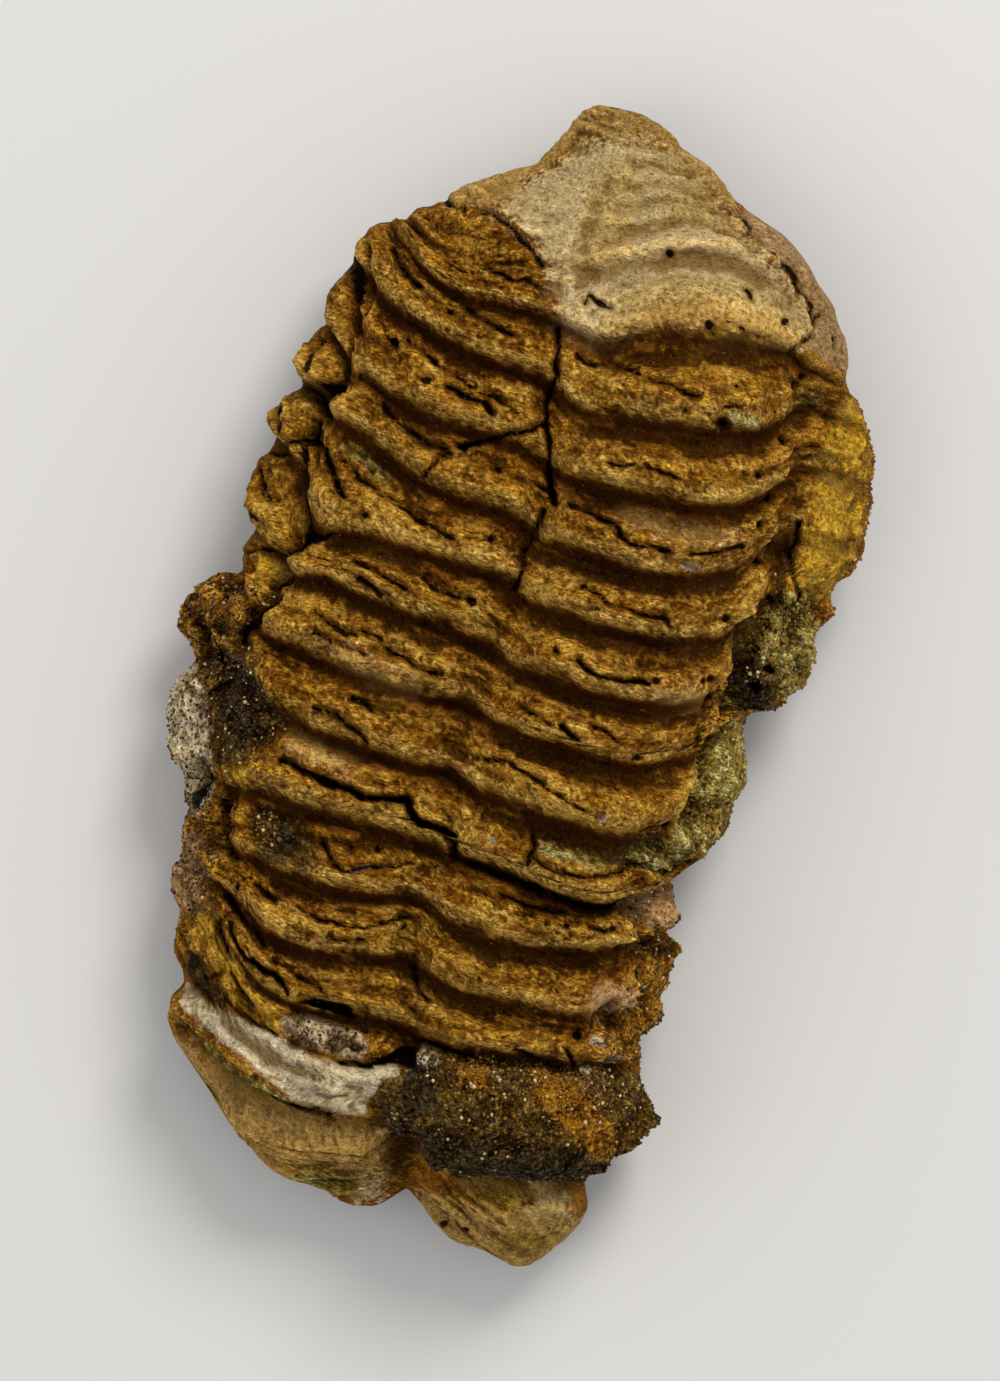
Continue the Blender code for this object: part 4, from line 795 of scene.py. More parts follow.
def blurred(field, reach_cells):
    """The field smoothed over about so many mesh cells each way."""
    for axis in (0, 1):
        for _ in range(2):
            pad = [(0, 0), (0, 0)]
            pad[axis] = (reach_cells + 1, reach_cells)
            total = np.cumsum(np.pad(field, pad, mode="edge"), axis=axis)
            width = 2 * reach_cells + 1
            upper = total.take(range(width, total.shape[axis]), axis=axis)
            lower = total.take(range(0, total.shape[axis] - width), axis=axis)
            field = (upper - lower) / width
    return field


def closed(outline):
    return outline + outline[:1]


def depth_inside(outline, x, y, reach):
    """How far inside a closed outline each point is, and below 0 outside it."""
    away = distance_to(closed(outline), x, y, reach)
    return np.where(inside(np.array(outline), x, y), away, -away)


def patch_mask(kind, x, y):
    """1 inside the patches of a kind, 0 outside, and 0.5 on their outlines."""
    mask = np.zeros(x.shape)
    soft = PATCH_SOFTNESS[kind]
    for outline in PATCHES[kind]:
        mask = np.maximum(mask, smoothstep(-soft, soft, depth_inside(outline, x, y, soft)))
    return mask


def beside(away):
    """1 along a lip a little off a line, 0 on the line and far from it."""
    return smoothstep(0.1, 0.35, away) * (1 - smoothstep(0.35, 0.8, away))


def fine_relief(x, y, vary):
    """Relief of cracks, furrows, lips and pits, and how deep each place is inside one."""
    relief = np.zeros(x.shape)
    inner = np.full(x.shape, -1.0)
    for half_width, *course in CRACKS:
        away = distance_to(course, x, y, LINE_REACH) - half_width * (0.85 + vary)
        relief -= CRACK_DEPTH * (1 - smoothstep(-0.1, 0.22, away))
        relief += CRACK_LIP * beside(away)
        inner = np.maximum(inner, -away)
    for course in FURROWS:
        away = distance_to(course, x, y, LINE_REACH) - FURROW_HALF_WIDTH * (0.8 + 1.6 * vary)
        relief -= FURROW_DEPTH * (1 - smoothstep(-0.05, 0.28, away))
        relief += FURROW_LIP * beside(away)
        inner = np.maximum(inner, -away)
    for outline in HOLES:
        depth = depth_inside(outline, x, y, LINE_REACH)
        relief -= HOLE_DEPTH * smoothstep(-0.2, 0.3, depth)
        inner = np.maximum(inner, depth)
    for course in TAIL_VALLEYS:
        relief += trench(x, y, course, 0, TAIL_VALLEY_DEPTH, TAIL_VALLEY_WALL)
    for course in LIPS:
        relief += trench(x, y, course, LIP_HALF_WIDTH, -LIP_HEIGHT, LIP_WALL)
    for px, py, half_x, half_y in PITS:
        smaller = min(half_x, half_y)
        away = (np.hypot((x - px) / half_x, (y - py) / half_y) - 0.8) * smaller - 0.3 * vary
        relief -= PIT_DEPTH_TO_WIDTH * smaller * (1 - smoothstep(-0.5 * half_y, 0.25, away))
        inner = np.maximum(inner, -away)
    return relief, np.clip(inner, -1, 1)


def glabella_dome(x, y):
    depth = depth_inside(GLABELLA, x, y, GLABELLA_SHOULDER + 1)
    return GLABELLA_RISE * roll(depth / GLABELLA_SHOULDER)


def form_relief(x, y, wander_x, wander_y, place, plan):
    """Relief of segments, furrows, lumps and cracks, and how deep each place is in a crack."""
    ragged_place = place + 0.05 * rough(plan, 2.6, 2, 3) + 0.03 * rough(plan, 0.7, 3, 4)
    relief = segment_relief(x, ragged_place) * (1 + 0.22 * rough(plan, 4.0, 2, 11))
    for furrow in BROAD_FURROWS:
        relief += trench(wander_x, wander_y, *furrow)
    for one_lump in LUMPS:
        relief += lump(x, y, *one_lump)
    fine, inner = fine_relief(wander_x, wander_y, 0.6 * rough(plan, 0.9, 2, 15))
    return relief + fine + glabella_dome(wander_x, wander_y), inner


def colour_patches(x, y, wander_x, wander_y, edge):
    """Masks of the colour patches, and how much each place of the flanks is rubble."""
    masks = {kind: patch_mask(kind, wander_x, wander_y) for kind in PATCHES}
    flank = smoothstep(4.6, 2.4, edge) * (1 - smoothstep(22, 25, y)) * smoothstep(-27, -24, y)
    plated = smoothstep(2, 4, y) * smoothstep(0, -4, x)
    right_fold = smoothstep(12, 14, y) * smoothstep(17.4, 16.4, x) * smoothstep(0, 4, x)
    flank_crust = FLANK_CRUST * flank * (1 - 0.8 * plated) * (1 - right_fold)
    masks["crust"] = np.maximum(masks["crust"], flank_crust) * (1 - 0.55 * masks["yellow"])
    # The tail's valleys get a darker olive-tan layer: partly its own tone, partly painted shade
    gaps = [distance_to(course, wander_x, wander_y, LINE_REACH) for course in RING_VALLEYS]
    masks["rings"] = 1 - smoothstep(0, 0.9, np.minimum.reduce(gaps))
    return masks, flank * (1 - 0.85 * plated) * (1 - 0.6 * masks["yellow"])


def flakes(ribwise, plan):
    """Thin layers broken off along ragged edges that run with the ribs: heights, feet and lips."""
    layers = rough(ribwise, 1.2, 4, 12) + 0.3 * rough(plan, 0.5, 2, 13)
    above = [layers - level for level in FLAKE_LEVELS]
    steps = sum(smoothstep(-0.03, 0.03, step) for step in above)
    foot = sum(np.clip(1 - np.abs(step + 0.05) / 0.07, 0, 1) for step in above)
    lip = sum(np.clip(1 - np.abs(step - 0.07) / 0.08, 0, 1) for step in above)
    return FLAKE_STEP * (steps - len(FLAKE_LEVELS) / 2), np.clip(foot, 0, 1), np.clip(lip, 0, 1)


def stone_texture(base, plan, place, masks, rubbly):
    """Relief of the flaked layers, lumps, grains and rubble. It also adds the flakes' masks."""
    crust = masks["crust"]
    ribwise = np.dstack([0.28 * base[..., 0], 5.2 * place, np.zeros_like(place)])
    layered = (1 - crust) * (1 - 0.7 * np.maximum(masks["cream"], masks["pink"]))
    height, foot, lip = flakes(ribwise, plan)
    # In the material the feet get painted shade and the lips a painted highlight
    masks["foot"] = layered * foot * smoothstep(-0.3, 0.1, rough(plan, 2.2, 2, 19))
    masks["lip"] = layered * lip * smoothstep(-0.3, 0.1, rough(plan, 2.2, 2, 20))
    relief = layered * height
    for plain_height, crust_height, size, octaves, seed in LUMPY_LAYERS:
        relief += (plain_height + crust_height * crust) * rough(base, size, octaves, seed)
    relief += (0.03 + 0.2 * crust) * (grains(base, 0.55, 7) - 0.5)
    relief += (0.75 * masks["white"] + 0.35 * crust) * (rubble(base, 1.1, 16) - 0.5)
    return relief + 1.1 * rubbly * (rubble(base, 2.6, 17) - 0.5)


def groove_masks(x, place, plan, crust):
    """Masks by how far a point is along its segment: worn crest, painted shade in the grooves, and painted
    shadow below it.
    """
    t = place - np.floor(place)
    in_segments = smoothstep(FIRST_GROOVE + 0.1, FIRST_GROOVE + 0.7, place)
    in_segments *= 1 - smoothstep(LAST_GROOVE - 0.1, LAST_GROOVE + 0.4, place)
    on_ring = smoothstep(RING_FROM_X, RING_FULL_X, x)
    below_groove = 1 - smoothstep(0, 0.15 + 0.08 * on_ring, t)
    above_groove = smoothstep(0.88, 0.99, t)
    worn = 1 - 0.75 * smoothstep(1, 4, x) * smoothstep(LAST_GROOVE - 1.6, LAST_GROOVE - 0.8, place)
    near_groove = np.maximum(below_groove, above_groove) * (0.85 + 0.5 * rough(plan, 3.0, 2, 14))
    in_shade = (1 - smoothstep(0.05, 0.36 + 0.1 * on_ring, t)) * (0.9 + 0.5 * rough(plan, 2.0, 3, 18))
    crest = smoothstep(0.55, 0.8, t) * (1 - smoothstep(0.86, 1, t))
    return {
        "crest": crest * in_segments * (1 - crust),
        "groove_shade": np.clip(near_groove * worn * in_segments * (1 - 0.6 * crust), 0, 1),
        "shade": np.clip(in_shade * worn * in_segments * (1 - 0.5 * crust), 0, 1),
    }


def hollow_masks(relief):
    """Masks of the hollows, darkened with grime and painted shade, and of the ridges, which get a painted
    highlight.
    """
    hollow = np.clip((blurred(relief, 3) - relief) / 0.25, -1, 1)
    valley = np.clip((blurred(relief, 9) - relief) / 0.9, -1, 1)
    return {
        "cavity": np.clip(0.6 * hollow + 0.6 * valley, 0, 1),
        "ridge": np.clip(-0.7 * hollow - 0.3 * valley, 0, 1),
    }


def raised(base, relief):
    """The points moved by their relief: upward on the back, outward where the sides are steep."""
    upward = normals(base)
    steep = smoothstep(0.3, 0.6, 1 - upward[..., 2:3])
    direction = steep * upward + (1 - steep) * np.array([0, 0, 1.0])
    return base + relief[..., None] * direction


def back_surface():
    """Points of the back row by row, the masks that drive its colours, and the stone's outline."""
    outline = rounded([TAIL_TIP, *RIGHT_EDGE, HEAD_NOTCH, *LEFT_EDGE[::-1]], OUTLINE_STEP)
    fine_outline = rounded(outline, FINE_OUTLINE_STEP)
    x, y, places = plan_rows(outline)
    place = places[:, None] + np.zeros_like(x)
    plan = np.dstack([x, y, np.zeros_like(x)])
    edge = edge_distance(fine_outline, x, y)
    rim = np.interp(y, RIM_Y, RIM_HEIGHT)
    radius = np.interp(x, BACK_ROLL_X, BACK_ROLL)
    base = np.dstack([x, y, rim + (grid_height(x, y) - rim) * roll(edge / radius)])

    # The strokes wander a little, as breaks in stone do
    wander_x = x + WANDER * rough(plan, WANDER_LENGTH, 4, 1)
    wander_y = y + WANDER * rough(plan, WANDER_LENGTH, 4, 2)
    masks, rubbly = colour_patches(x, y, wander_x, wander_y, edge)
    relief, masks["inner"] = form_relief(x, y, wander_x, wander_y, place, plan)
    relief += stone_texture(base, plan, place, masks, rubbly)
    relief *= smoothstep(-0.3, 1.0, edge)
    relief *= smoothstep(0.2, 3.2, np.hypot(x - HEAD_NOTCH[0], y - HEAD_NOTCH[1]))
    masks |= groove_masks(x, place, plan, masks["crust"]) | hollow_masks(relief)
    return raised(base, relief), masks, fine_outline


def belly_points(back, outline):
    """The underside: columns that go home from the right edge to the left one."""
    share = np.linspace(1, 0, BELLY_COLUMNS + 2)[1:-1] * (BACK_COLUMNS - 1)
    columns = np.arange(BACK_COLUMNS)
    x = np.array([np.interp(share, columns, row) for row in back[..., 0]])
    y = np.array([np.interp(share, columns, row) for row in back[..., 1]])
    edge = edge_distance(outline, x, y)
    rim = np.interp(y, RIM_Y, RIM_HEIGHT)
    turned = roll(edge / BELLY_ROLL)
    wave = np.sin(x * 2 * np.pi / BELLY_LUMP_LENGTH + 0.9 * np.sin(y * 0.31))
    wave *= np.cos(y * 2 * np.pi / BELLY_LUMP_LENGTH + 1.1 * np.sin(x * 0.27))
    curved = smoothstep(0, 2, edge) * (1 - smoothstep(0.93, 1, turned))
    points = np.dstack([x, y, rim * (1 - turned) + BELLY_LUMP * (wave + 1) * curved])
    points[..., 2] += curved * (0.25 * rough(points, 2.0, 3, 9) + 0.1 * rough(points, 0.8, 2, 10))
    return points


def ring_faces(rows, around):
    """Faces over rings of points from tail to head, closed by a pole at each end."""
    tail_pole, head_pole = rows * around, rows * around + 1
    last_ring = (rows - 1) * around
    faces = []
    for place in range(around):
        after = (place + 1) % around
        faces.append((tail_pole, place, after))
        faces.append((head_pole, last_ring + after, last_ring + place))
    for near in range(0, last_ring, around):
        far = near + around
        for place in range(around):
            after = (place + 1) % around
            faces.append((near + place, far + place, far + after, near + after))
    return faces


def store(mesh, name, values):
    """Keep a number for each vertex of the mesh, for its material to read."""
    mesh.attributes.new(name, "FLOAT", "POINT").data.foreach_set("value", values.astype(np.float32))


def stored(mesh, name):
    values = np.empty(len(mesh.vertices), np.float32)
    mesh.attributes[name].data.foreach_get("value", values)
    return values


def stone_mesh():
    back, masks, outline = back_surface()
    rings = np.concatenate([back, belly_points(back, outline)], axis=1)
    rows, around = rings.shape[:2]
    poles = np.array([(*TAIL_TIP, RIM_HEIGHT[-1]), (*HEAD_NOTCH, RIM_HEIGHT[0])])
    points = np.vstack([rings.reshape(-1, 3), poles])
    points[:, 2] = np.maximum(points[:, 2], 0)
    low, high = (np.array(corner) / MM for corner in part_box("trilobite"))
    middle = (points.min(axis=0) + points.max(axis=0)) / 2
    points[:, :2] += ((low + high) / 2 - middle)[:2]
    mesh = bpy.data.meshes.new("fossil_stone")
    mesh.from_pydata((points * MM).tolist(), [], ring_faces(rows, around))
    mesh.shade_smooth()
    for name, mask in masks.items():
        values = np.zeros(len(points))
        on_rings = values[:rows * around].reshape(rows, around)
        on_rings[:, :BACK_COLUMNS] = mask
        if name == "crust":
            on_rings[:, BACK_COLUMNS:] = BELLY_CRUST
        store(mesh, name, values)
    mesh.validate()
    return mesh


def node(tree, kind, inputs=None, **settings):
    """A new shader node with its settings, and with each input set or linked."""
    made = tree.nodes.new("ShaderNode" + kind)
    for name, value in settings.items():
        setattr(made, name, value)
    for name, value in (inputs or {}).items():
        if isinstance(value, bpy.types.NodeSocket):
            tree.links.new(value, made.inputs[name])
        else:
            made.inputs[name].default_value = value
    return made


def mixed(tree, factor, first, second, blend="MIX"):
    made = node(tree, "Mix", {"Factor": factor, 6: first, 7: second}, data_type="RGBA", blend_type=blend)
    return made.outputs[2]


def maths(tree, operation, first, second=0.5):
    return node(tree, "Math", {0: first, 1: second}, operation=operation).outputs[0]


def times(tree, first, second):
    return maths(tree, "MULTIPLY", first, second)


def ranged(tree, value, low, high, to_low=0.0, to_high=1.0):
    ends = {"From Min": low, "From Max": high, "To Min": to_low, "To Max": to_high}
    return node(tree, "MapRange", {"Value": value, **ends}, interpolation_type="SMOOTHSTEP").outputs[0]


def wavered(tree, value, noisy, amount):
    """The value pushed up and down by noise about 0.5, so that its edge turns ragged."""
    return maths(tree, "ADD", value, times(tree, maths(tree, "SUBTRACT", noisy, 0.5), amount))


def mesh_field(tree, name):
    return node(tree, "Attribute", attribute_name=name).outputs["Fac"]


def place_in_mm(tree):
    place = node(tree, "TexCoord").outputs["Object"]
    return node(tree, "Mapping", {"Vector": place, "Scale": (1 / MM, 1 / MM, 1 / MM)}).outputs[0]


def new_material(name):
    """A material, its node tree and its main shader."""
    material = bpy.data.materials.new(name)
    material.use_nodes = True
    return material, material.node_tree, material.node_tree.nodes["Principled BSDF"]


def colour(code):
    """Linear colour from a six-digit colour code."""
    shades = [int(code[place:place + 2], 16) / 255 for place in (0, 2, 4)]
    linear = [s / 12.92 if s <= 0.04045 else ((s + 0.055) / 1.055) ** 2.4 for s in shades]
    return (*linear, 1)


def stone_patterns(tree):
    """The noises, lines and cells that the stone's colour and bumps share."""
    place = place_in_mm(tree)
    found = SimpleNamespace()

    def noisy(scale, detail=4.0, roughness=0.6, at=place):
        inputs = {"Vector": at, "Scale": scale, "Detail": detail, "Roughness": roughness}
        return node(tree, "TexNoise", inputs).outputs["Fac"]

    def stretched(amounts):
        return node(tree, "Mapping", {"Vector": place, "Scale": amounts}).outputs[0]

    found.broad = noisy(0.22)
    found.middling = noisy(0.8)
    found.small = noisy(2.6)
    found.tiny = noisy(7.0, 3.0)
    found.blotch = maths(tree, "ADD", times(tree, found.middling, 0.5), times(tree, found.small, 0.5))
    found.strokes = noisy(1.0, 3.0, 0.65, stretched((1.5, 5.4, 4.0)))
    found.pores = ranged(tree, found.small, 0.4, 0.3)

    # Edges of thin layers, where noise drawn out along the ribs crosses evenly spaced levels: a dark hairline
    # on each, and a painted highlight beside it
    layer_edge = maths(tree, "PINGPONG", noisy(1.0, 6.0, 0.62, stretched((0.55, 1.9, 1.0))), 0.06)
    in_places = ranged(tree, found.middling, 0.4, 0.56)
    found.hairline = times(tree, ranged(tree, layer_edge, 0.009, 0.001), in_places)
    rising, falling = ranged(tree, layer_edge, 0.008, 0.014), ranged(tree, layer_edge, 0.026, 0.016)
    found.pale_edge = times(tree, rising, falling)

    found.cells = node(tree, "TexVoronoi", {"Vector": place, "Scale": 2.9, "Randomness": 1.0}).outputs
    found.specks = node(tree, "TexVoronoi", {"Vector": place, "Scale": 4.3, "Randomness": 1.0}).outputs
    return found


def split_colour(tree, cells):
    """Three random numbers for each cell."""
    return node(tree, "SeparateColor", {"Color": cells["Color"]}).outputs


def ochre_ground(tree, patterns):
    shade = mixed(tree, ranged(tree, patterns.middling, 0.35, 0.62), colour(DEEP_OCHRE), colour(OCHRE))
    shade = mixed(tree, ranged(tree, patterns.broad, 0.45, 0.7, 0, 0.7), shade, colour(LIGHT_OCHRE))
    return mixed(tree, ranged(tree, patterns.small, 0.46, 0.66, 0, 0.5), shade, colour(LIGHT_OCHRE))


def with_layers(tree, patterns, shade):
    """The colour layers laid over the ochre, each with a ragged edge and a wavering tone."""
    for name, dark, light, raggedness, strength in LAYERS:
        layer = mesh_field(tree, name)
        edge = times(tree, layer, maths(tree, "SUBTRACT", 1.0, layer))
        ragged = wavered(tree, layer, patterns.blotch, times(tree, edge, raggedness * 10))
        mask = ranged(tree, ragged, 0.3, 0.75, 0, strength)
        mask = times(tree, mask, ranged(tree, patterns.middling, 0.3, 0.55, 0.72, 1.0))
        tone = mixed(tree, ranged(tree, patterns.small, 0.36, 0.66), colour(dark), colour(light))
        shade = mixed(tree, mask, shade, tone)
    return shade


def pale_places(tree):
    """Where the stone is pale, so that its painted highlights and shade differ less than on ochre."""
    pale = 0.0
    for name, share in PALE_LAYERS:
        pale = maths(tree, "MAXIMUM", pale, times(tree, mesh_field(tree, name), share))
    return ranged(tree, pale, 0.1, 0.55)


def with_sand(tree, patterns, shade, pale):
    """Grains that differ in tone, more in the crust, and a few dark ones."""
    one_tone = split_colour(tree, patterns.cells)["Green"]
    in_crust = ranged(tree, mesh_field(tree, "crust"), 0, 1, 0.3, 0.9)
    share = times(tree, in_crust, ranged(tree, pale, 0, 1, 1, 0.4))
    shade = mixed(tree, share, shade, ranged(tree, one_tone, 0, 1, 0.35, 1.75), "MULTIPLY")
    chosen = ranged(tree, split_colour(tree, patterns.specks)["Red"], 0.9, 0.93)
    speck = times(tree, chosen, ranged(tree, patterns.specks["Distance"], 0.34, 0.2))
    return mixed(tree, times(tree, speck, 0.75), shade, colour(DARK_SPECK))


# Light specks painted as glints
def with_painted_glints(tree, patterns, shade):
    chosen = ranged(tree, split_colour(tree, patterns.specks)["Green"], 0.94, 0.97)
    speck = times(tree, chosen, ranged(tree, patterns.specks["Distance"], 0.3, 0.16))
    return mixed(tree, times(tree, speck, 0.5), shade, colour(GLINT_SPECK))


def with_lines(tree, patterns, shade, pale, highlight_tint, shade_tint, dirt_and_shade):
    """Dark pores and hairlines, painted shade at the feet of flakes, painted highlights on their lips and on
    layer edges, and short strokes of painted highlight and shade along the ribs.
    """
    shade = mixed(tree, times(tree, patterns.pores, 0.6), shade, dirt_and_shade)
    shade = mixed(tree, times(tree, patterns.hairline, 0.85), shade, dirt_and_shade)
    # Painted shade at the feet of flakes
    shade = mixed(tree, times(tree, mesh_field(tree, "foot"), 0.75), shade, dirt_and_shade)
    # Painted highlights on layer edges and flake lips
    light_line = maths(tree, "MAXIMUM", patterns.pale_edge, mesh_field(tree, "lip"))
    light_line = times(tree, light_line, ranged(tree, pale, 0, 1, 0.9, 0.2))
    shade = mixed(tree, light_line, shade, highlight_tint, "MULTIPLY")
    # Fine strokes of painted highlight and painted shade
    grit_light_and_shade = mixed(tree, ranged(tree, patterns.strokes, 0.36, 0.64), shade_tint, highlight_tint)
    grit_light_and_shade_share = times(tree, ranged(tree, patterns.middling, 0.35, 0.6, 0.3, 0.75),
                       ranged(tree, pale, 0, 1, 1, 0.65))
    return mixed(tree, grit_light_and_shade_share, shade, grit_light_and_shade, "MULTIPLY")


def with_highlights_shade_and_dirt(tree, patterns, shade, highlight_tint, dirt_and_shade):
    """Ridges get a painted highlight, the band below each rib and the grooves get painted shade, hollows
    darken with grime and painted shade, and cracks are painted black inside as shade.
    """
    # Painted highlight on the ridges
    shade = mixed(tree, ranged(tree, mesh_field(tree, "ridge"), 0.3, 1.0), shade, highlight_tint, "MULTIPLY")
    # Painted shadow in the band below each rib
    in_shade = wavered(tree, mesh_field(tree, "shade"), patterns.blotch, 1.0)
    shade = mixed(tree, ranged(tree, in_shade, 0.1, 1.0, 0, 0.65), shade, colour(SHADE_BROWN))
    # Hollows darkened: grime and painted shade
    hollow_darkening = wavered(tree, mesh_field(tree, "cavity"), patterns.small, 0.7)
    shade = mixed(tree, ranged(tree, hollow_darkening, 0.15, 0.9, 0, 0.75), shade, dirt_and_shade)
    # Painted shade in the grooves
    groove_shade = wavered(tree, mesh_field(tree, "groove_shade"), patterns.blotch, 1.0)
    shade = mixed(tree, ranged(tree, groove_shade, 0.15, 1.0, 0, 0.7), shade, colour(GROOVE_SHADE_BROWN))
    # Cracks, furrows, holes and pits painted near-black inside as shade
    inner = wavered(tree, mesh_field(tree, "inner"), patterns.small, 0.35)
    return mixed(tree, ranged(tree, inner, -0.1, 0.04, 0, 0.96), shade, colour(CRACK_SHADE_BLACK))


def stone_bump(tree, patterns):
    grain_height = ranged(tree, mesh_field(tree, "crust"), 0, 1, 0.25, 1.0)
    bumps = times(tree, ranged(tree, patterns.cells["Distance"], 0.5, 0.0), grain_height)
    for pattern, height in ((patterns.small, 1.1), (patterns.tiny, 0.5), (patterns.strokes, 0.7),
                            (patterns.hairline, -0.35), (patterns.pores, -0.3)):
        bumps = maths(tree, "ADD", bumps, times(tree, pattern, height))
    return node(tree, "Bump", {"Strength": 1.0, "Distance": STONE_BUMP, "Height": bumps}).outputs[0]


def stone_material():
    material, tree, shader = new_material("ochre_stone")
    patterns = stone_patterns(tree)
    pale = pale_places(tree)
    # Tints for painted highlights and for painted shade, milder on pale stone
    highlight_tint = mixed(tree, pale, OCHRE_HIGHLIGHT, PALE_HIGHLIGHT)
    shade_tint = mixed(tree, pale, OCHRE_SHADE, PALE_SHADE)
    # Grime with painted shade, for hollows, pores, hairlines and feet of flakes
    dirt_and_shade = mixed(tree, pale, colour(DIRT_AND_SHADE_BROWN), colour(PALE_DIRT_AND_SHADE))
    shade = with_layers(tree, patterns, ochre_ground(tree, patterns))
    shade = with_sand(tree, patterns, shade, pale)
    shade = with_lines(tree, patterns, shade, pale, highlight_tint, shade_tint, dirt_and_shade)
    shade = with_highlights_shade_and_dirt(tree, patterns, shade, highlight_tint, dirt_and_shade)
    shade = with_painted_glints(tree, patterns, shade)
    tree.links.new(shade, shader.inputs["Base Color"])
    tree.links.new(ranged(tree, patterns.small, 0.3, 0.7, 0.7, 0.95), shader.inputs["Roughness"])
    tree.links.new(stone_bump(tree, patterns), shader.inputs["Normal"])
    shader.inputs["Specular IOR Level"].default_value = STONE_GLOSS
    return material


def grain_material():
    material, tree, shader = new_material("sand_grains")
    tone = mesh_field(tree, "tone")
    shade = mixed(tree, ranged(tree, tone, 0.1, 0.6), colour(GRAIN_BLACK), colour(GRAIN_BROWN))
    shade = mixed(tree, ranged(tree, tone, 0.6, 0.9), shade, colour(GRAIN_OCHRE))
    # The last of these darkens grains on the near-black patches: dark crust, and painted shade on the
    # glabella's lower half
    for name, code, share in (("warm", GRAIN_ORANGE, 0.65), ("light", GRAIN_OLIVE, 0.6),
                              ("deep", GRAIN_DARK_AND_SHADED, 0.85)):
        shade = mixed(tree, times(tree, mesh_field(tree, name), share), shade, colour(code))
    shade = mixed(tree, ranged(tree, tone, 0.94, 0.98), shade, colour(GRAIN_QUARTZ))
    mottle = node(tree, "TexNoise", {"Vector": place_in_mm(tree), "Scale": 5.0, "Detail": 3.0}).outputs["Fac"]
    shade = mixed(tree, ranged(tree, mottle, 0.4, 0.65, 0, 0.5), shade, colour(GRAIN_MOTTLE))
    tree.links.new(shade, shader.inputs["Base Color"])
    tree.links.new(ranged(tree, mottle, 0.3, 0.7, 0.35, 0.75), shader.inputs["Roughness"])
    bump = node(tree, "Bump", {"Strength": 0.5, "Distance": GRAIN_BUMP, "Height": mottle})
    tree.links.new(bump.outputs[0], shader.inputs["Normal"])
    shader.inputs["Specular IOR Level"].default_value = GRAIN_GLOSS
    return material


def in_scene(name, data):
    """A new object with its data, linked to the scene."""
    made = bpy.data.objects.new(name, data)
    bpy.context.scene.collection.objects.link(made)
    return made


def make_stone():
    stone = in_scene("fossil_stone", stone_mesh())
    stone.data.materials.append(stone_material())
    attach(stone, "root")
    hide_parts("trilobite")
    return stone


def ball_corners():
    """Corners of a twenty-sided ball whose edges are two long."""
    golden = (1 + math.sqrt(5)) / 2
    corners = []
    for a, b in ((1, golden), (-1, golden), (1, -golden), (-1, -golden)):
        corners += [(0, a, b), (a, b, 0), (b, 0, a)]
    return np.array(corners)


def ball_faces(corners):
    """The twenty faces of the ball, found as the corner triples that touch."""
    faces = []
    for i, j, k in combinations(range(len(corners)), 3):
        sides = (corners[i] - corners[j], corners[j] - corners[k], corners[k] - corners[i])
        if max(np.linalg.norm(side) for side in sides) < 2.1:
            outward = np.dot(np.cross(sides[0], sides[1]), corners[i]) > 0
            faces.append((i, j, k) if outward else (i, k, j))
    return np.array(faces)


def sand_grain(rng, ball, middle, size):
    """Corners of one angular grain: a ball pushed out of shape."""
    stretch = rng.uniform(0.7, 1.25, 3)
    bent = ball * stretch * rng.uniform(0.82, 1.1, (len(ball), 1))
    spin, _ = np.linalg.qr(rng.normal(size=(3, 3)))
    return middle + size * bent @ spin


def vertices_with_grains(rng, points, fields):
    """Vertices in the crust, most on the glabella, none in a crack or near the floor."""
    on_glabella = np.clip(fields["crust"] + fields["moss"] - 1.5, 0, 1)
    chance = np.clip(fields["crust"] - 0.55, 0, 1) + 1.2 * on_glabella
    chance *= (fields["inner"] < -0.1) & (points[:, 2] > LOWEST_GRAIN)
    return rng.choice(len(points), GRAIN_COUNT, replace=False, p=chance / chance.sum())


def scattered_grains(rng, points, picked, ball):
    """Corners of a grain near each picked vertex, and a random tone for each grain."""
    last = len(points) - POLES - 1
    to_side = points[np.minimum(picked + 1, last)] - points[picked]
    to_head = points[np.minimum(picked + BACK_COLUMNS + BELLY_COLUMNS, last)] - points[picked]
    corners, tones = [], []
    for start, side, ahead in zip(points[picked], to_side, to_head):
        size = rng.uniform(*GRAIN_RADIUS)
        side_share, head_share = rng.uniform(0, 0.9, 2)
        step = side_share * side + head_share * ahead
        middle = start + step if np.linalg.norm(step) <= GRAIN_WANDER else start
        corners.append(sand_grain(rng, ball, middle - (0, 0, GRAIN_SINK * size), size))
        tones.append(rng.uniform())
    return np.vstack(corners), np.array(tones)


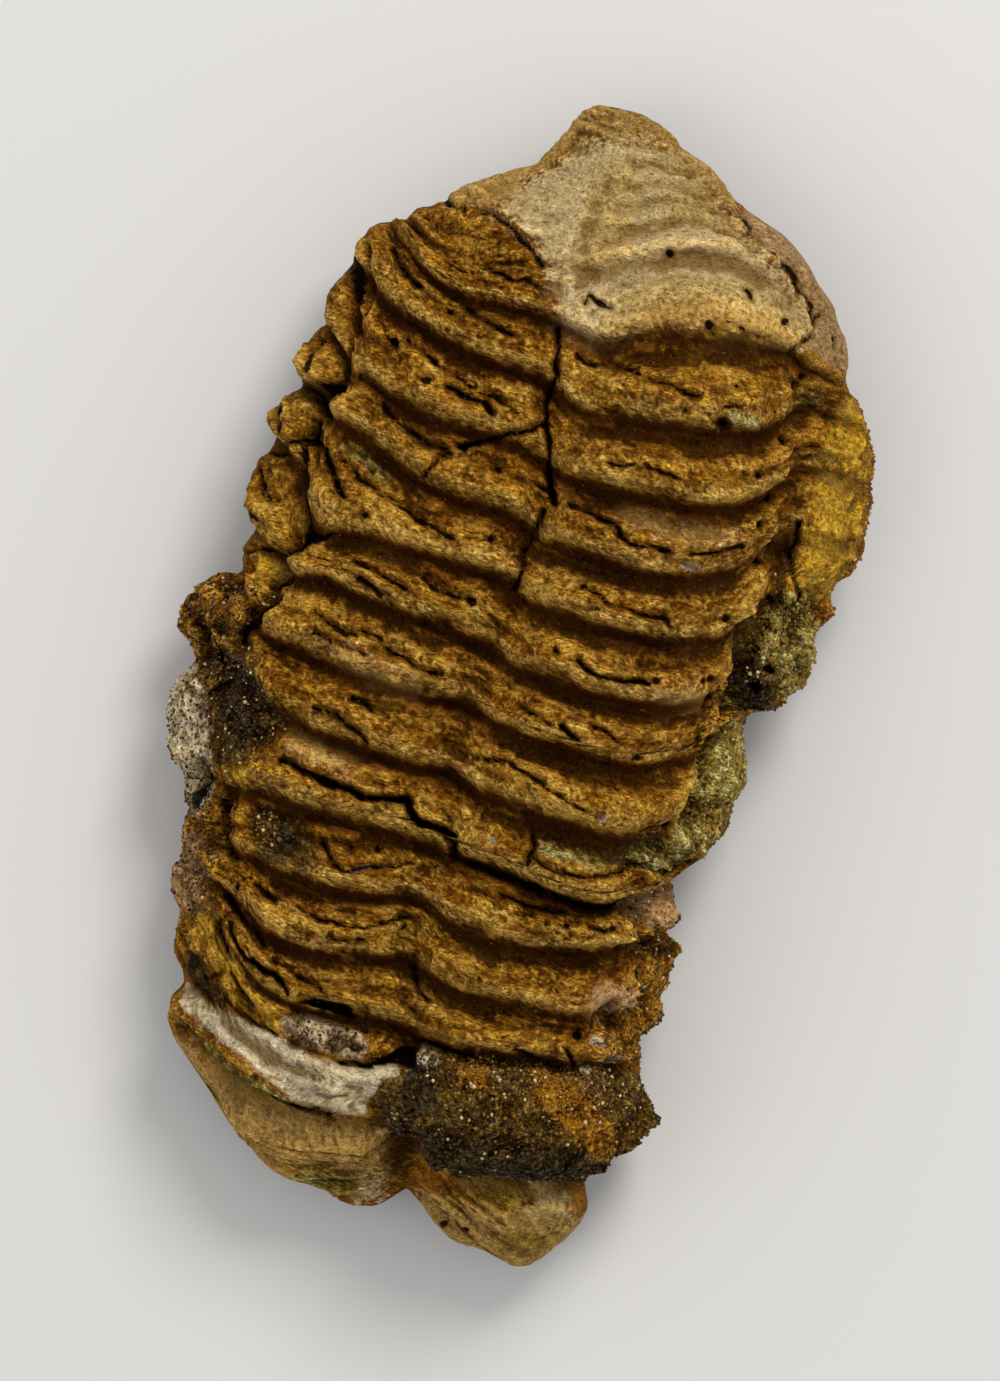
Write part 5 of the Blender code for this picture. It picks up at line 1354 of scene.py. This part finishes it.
def make_grains(stone):
    """Sand grains held in the crust, as one mesh."""
    rng = np.random.default_rng(5)
    points = np.empty(3 * len(stone.data.vertices))
    stone.data.vertices.foreach_get("co", points)
    points = points.reshape(-1, 3)
    names = ("crust", "moss", "inner", "dark_crust_and_shade", "orange", "yellow", "olive")
    fields = {name: stored(stone.data, name) for name in names}
    picked = vertices_with_grains(rng, points, fields)
    ball = ball_corners()
    corners, tones = scattered_grains(rng, points, picked, ball / np.linalg.norm(ball[0]))
    faces = ball_faces(ball) + len(ball) * np.arange(GRAIN_COUNT)[:, None, None]
    mesh = bpy.data.meshes.new("crust_grains")
    mesh.from_pydata(corners.tolist(), [], faces.reshape(-1, 3).tolist())
    of_grains = {
        "tone": tones,
        "warm": np.maximum(fields["orange"], fields["yellow"])[picked],
        "light": (fields["olive"] * (1 - fields["moss"]))[picked],
        "deep": fields["dark_crust_and_shade"][picked],
    }
    for name, values in of_grains.items():
        store(mesh, name, np.repeat(values, len(ball)))
    mesh.materials.append(grain_material())
    grains_piece = in_scene("crust_grains", mesh)
    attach(grains_piece, "root")


def make_floor():
    mesh = bpy.data.meshes.new("floor")
    corners = [(x * FLOOR_HALF, y * FLOOR_HALF, 0) for x, y in ((-1, -1), (1, -1), (1, 1), (-1, 1))]
    mesh.from_pydata(corners, [], [(0, 1, 2, 3)])
    material, _, shader = new_material("pale_floor")
    shader.inputs["Base Color"].default_value = FLOOR_TONE
    shader.inputs["Roughness"].default_value = 0.9
    shader.inputs["Specular IOR Level"].default_value = 0.1
    mesh.materials.append(material)
    floor = in_scene("floor", mesh)


def picture_direction(right, up, height):
    """A direction given by how it runs in the picture, and by how steeply it rises."""
    turned_x = right * math.cos(PICTURE_TURN) - up * math.sin(PICTURE_TURN)
    turned_y = right * math.sin(PICTURE_TURN) + up * math.cos(PICTURE_TURN)
    return Vector((turned_x, turned_y, height)).normalized()


def make_light(name, way, distance, size, power, tint):
    light = bpy.data.lights.new(name, "AREA")
    light.energy = power
    light.shape = "DISK"
    light.size = size
    light.color = tint
    direction = picture_direction(*way)
    lamp = in_scene(name, light)
    lamp.location = direction * distance
    lamp.rotation_euler = direction.to_track_quat("Z", "Y").to_euler()


def make_sky():
    world = bpy.data.worlds.new("studio")
    world.use_nodes = True
    background = world.node_tree.nodes["Background"]
    background.inputs["Color"].default_value = SKY_TINT
    background.inputs["Strength"].default_value = SKY_POWER
    bpy.context.scene.world = world


def make_camera():
    data = bpy.data.cameras.new("camera")
    data.sensor_width = SENSOR
    data.lens = SENSOR * CAMERA_DISTANCE / PICTURE_TALL
    camera = in_scene("camera", data)
    camera.location = (*CAMERA_OVER, SHARPEST_PLANE + CAMERA_DISTANCE)
    camera.rotation_euler = (0, 0, PICTURE_TURN)
    bpy.context.scene.camera = camera


make_grains(make_stone())
make_floor()
for light_settings in LIGHTS:
    make_light(*light_settings)
make_sky()
make_camera()
bpy.context.scene.view_settings.view_transform = "Standard"
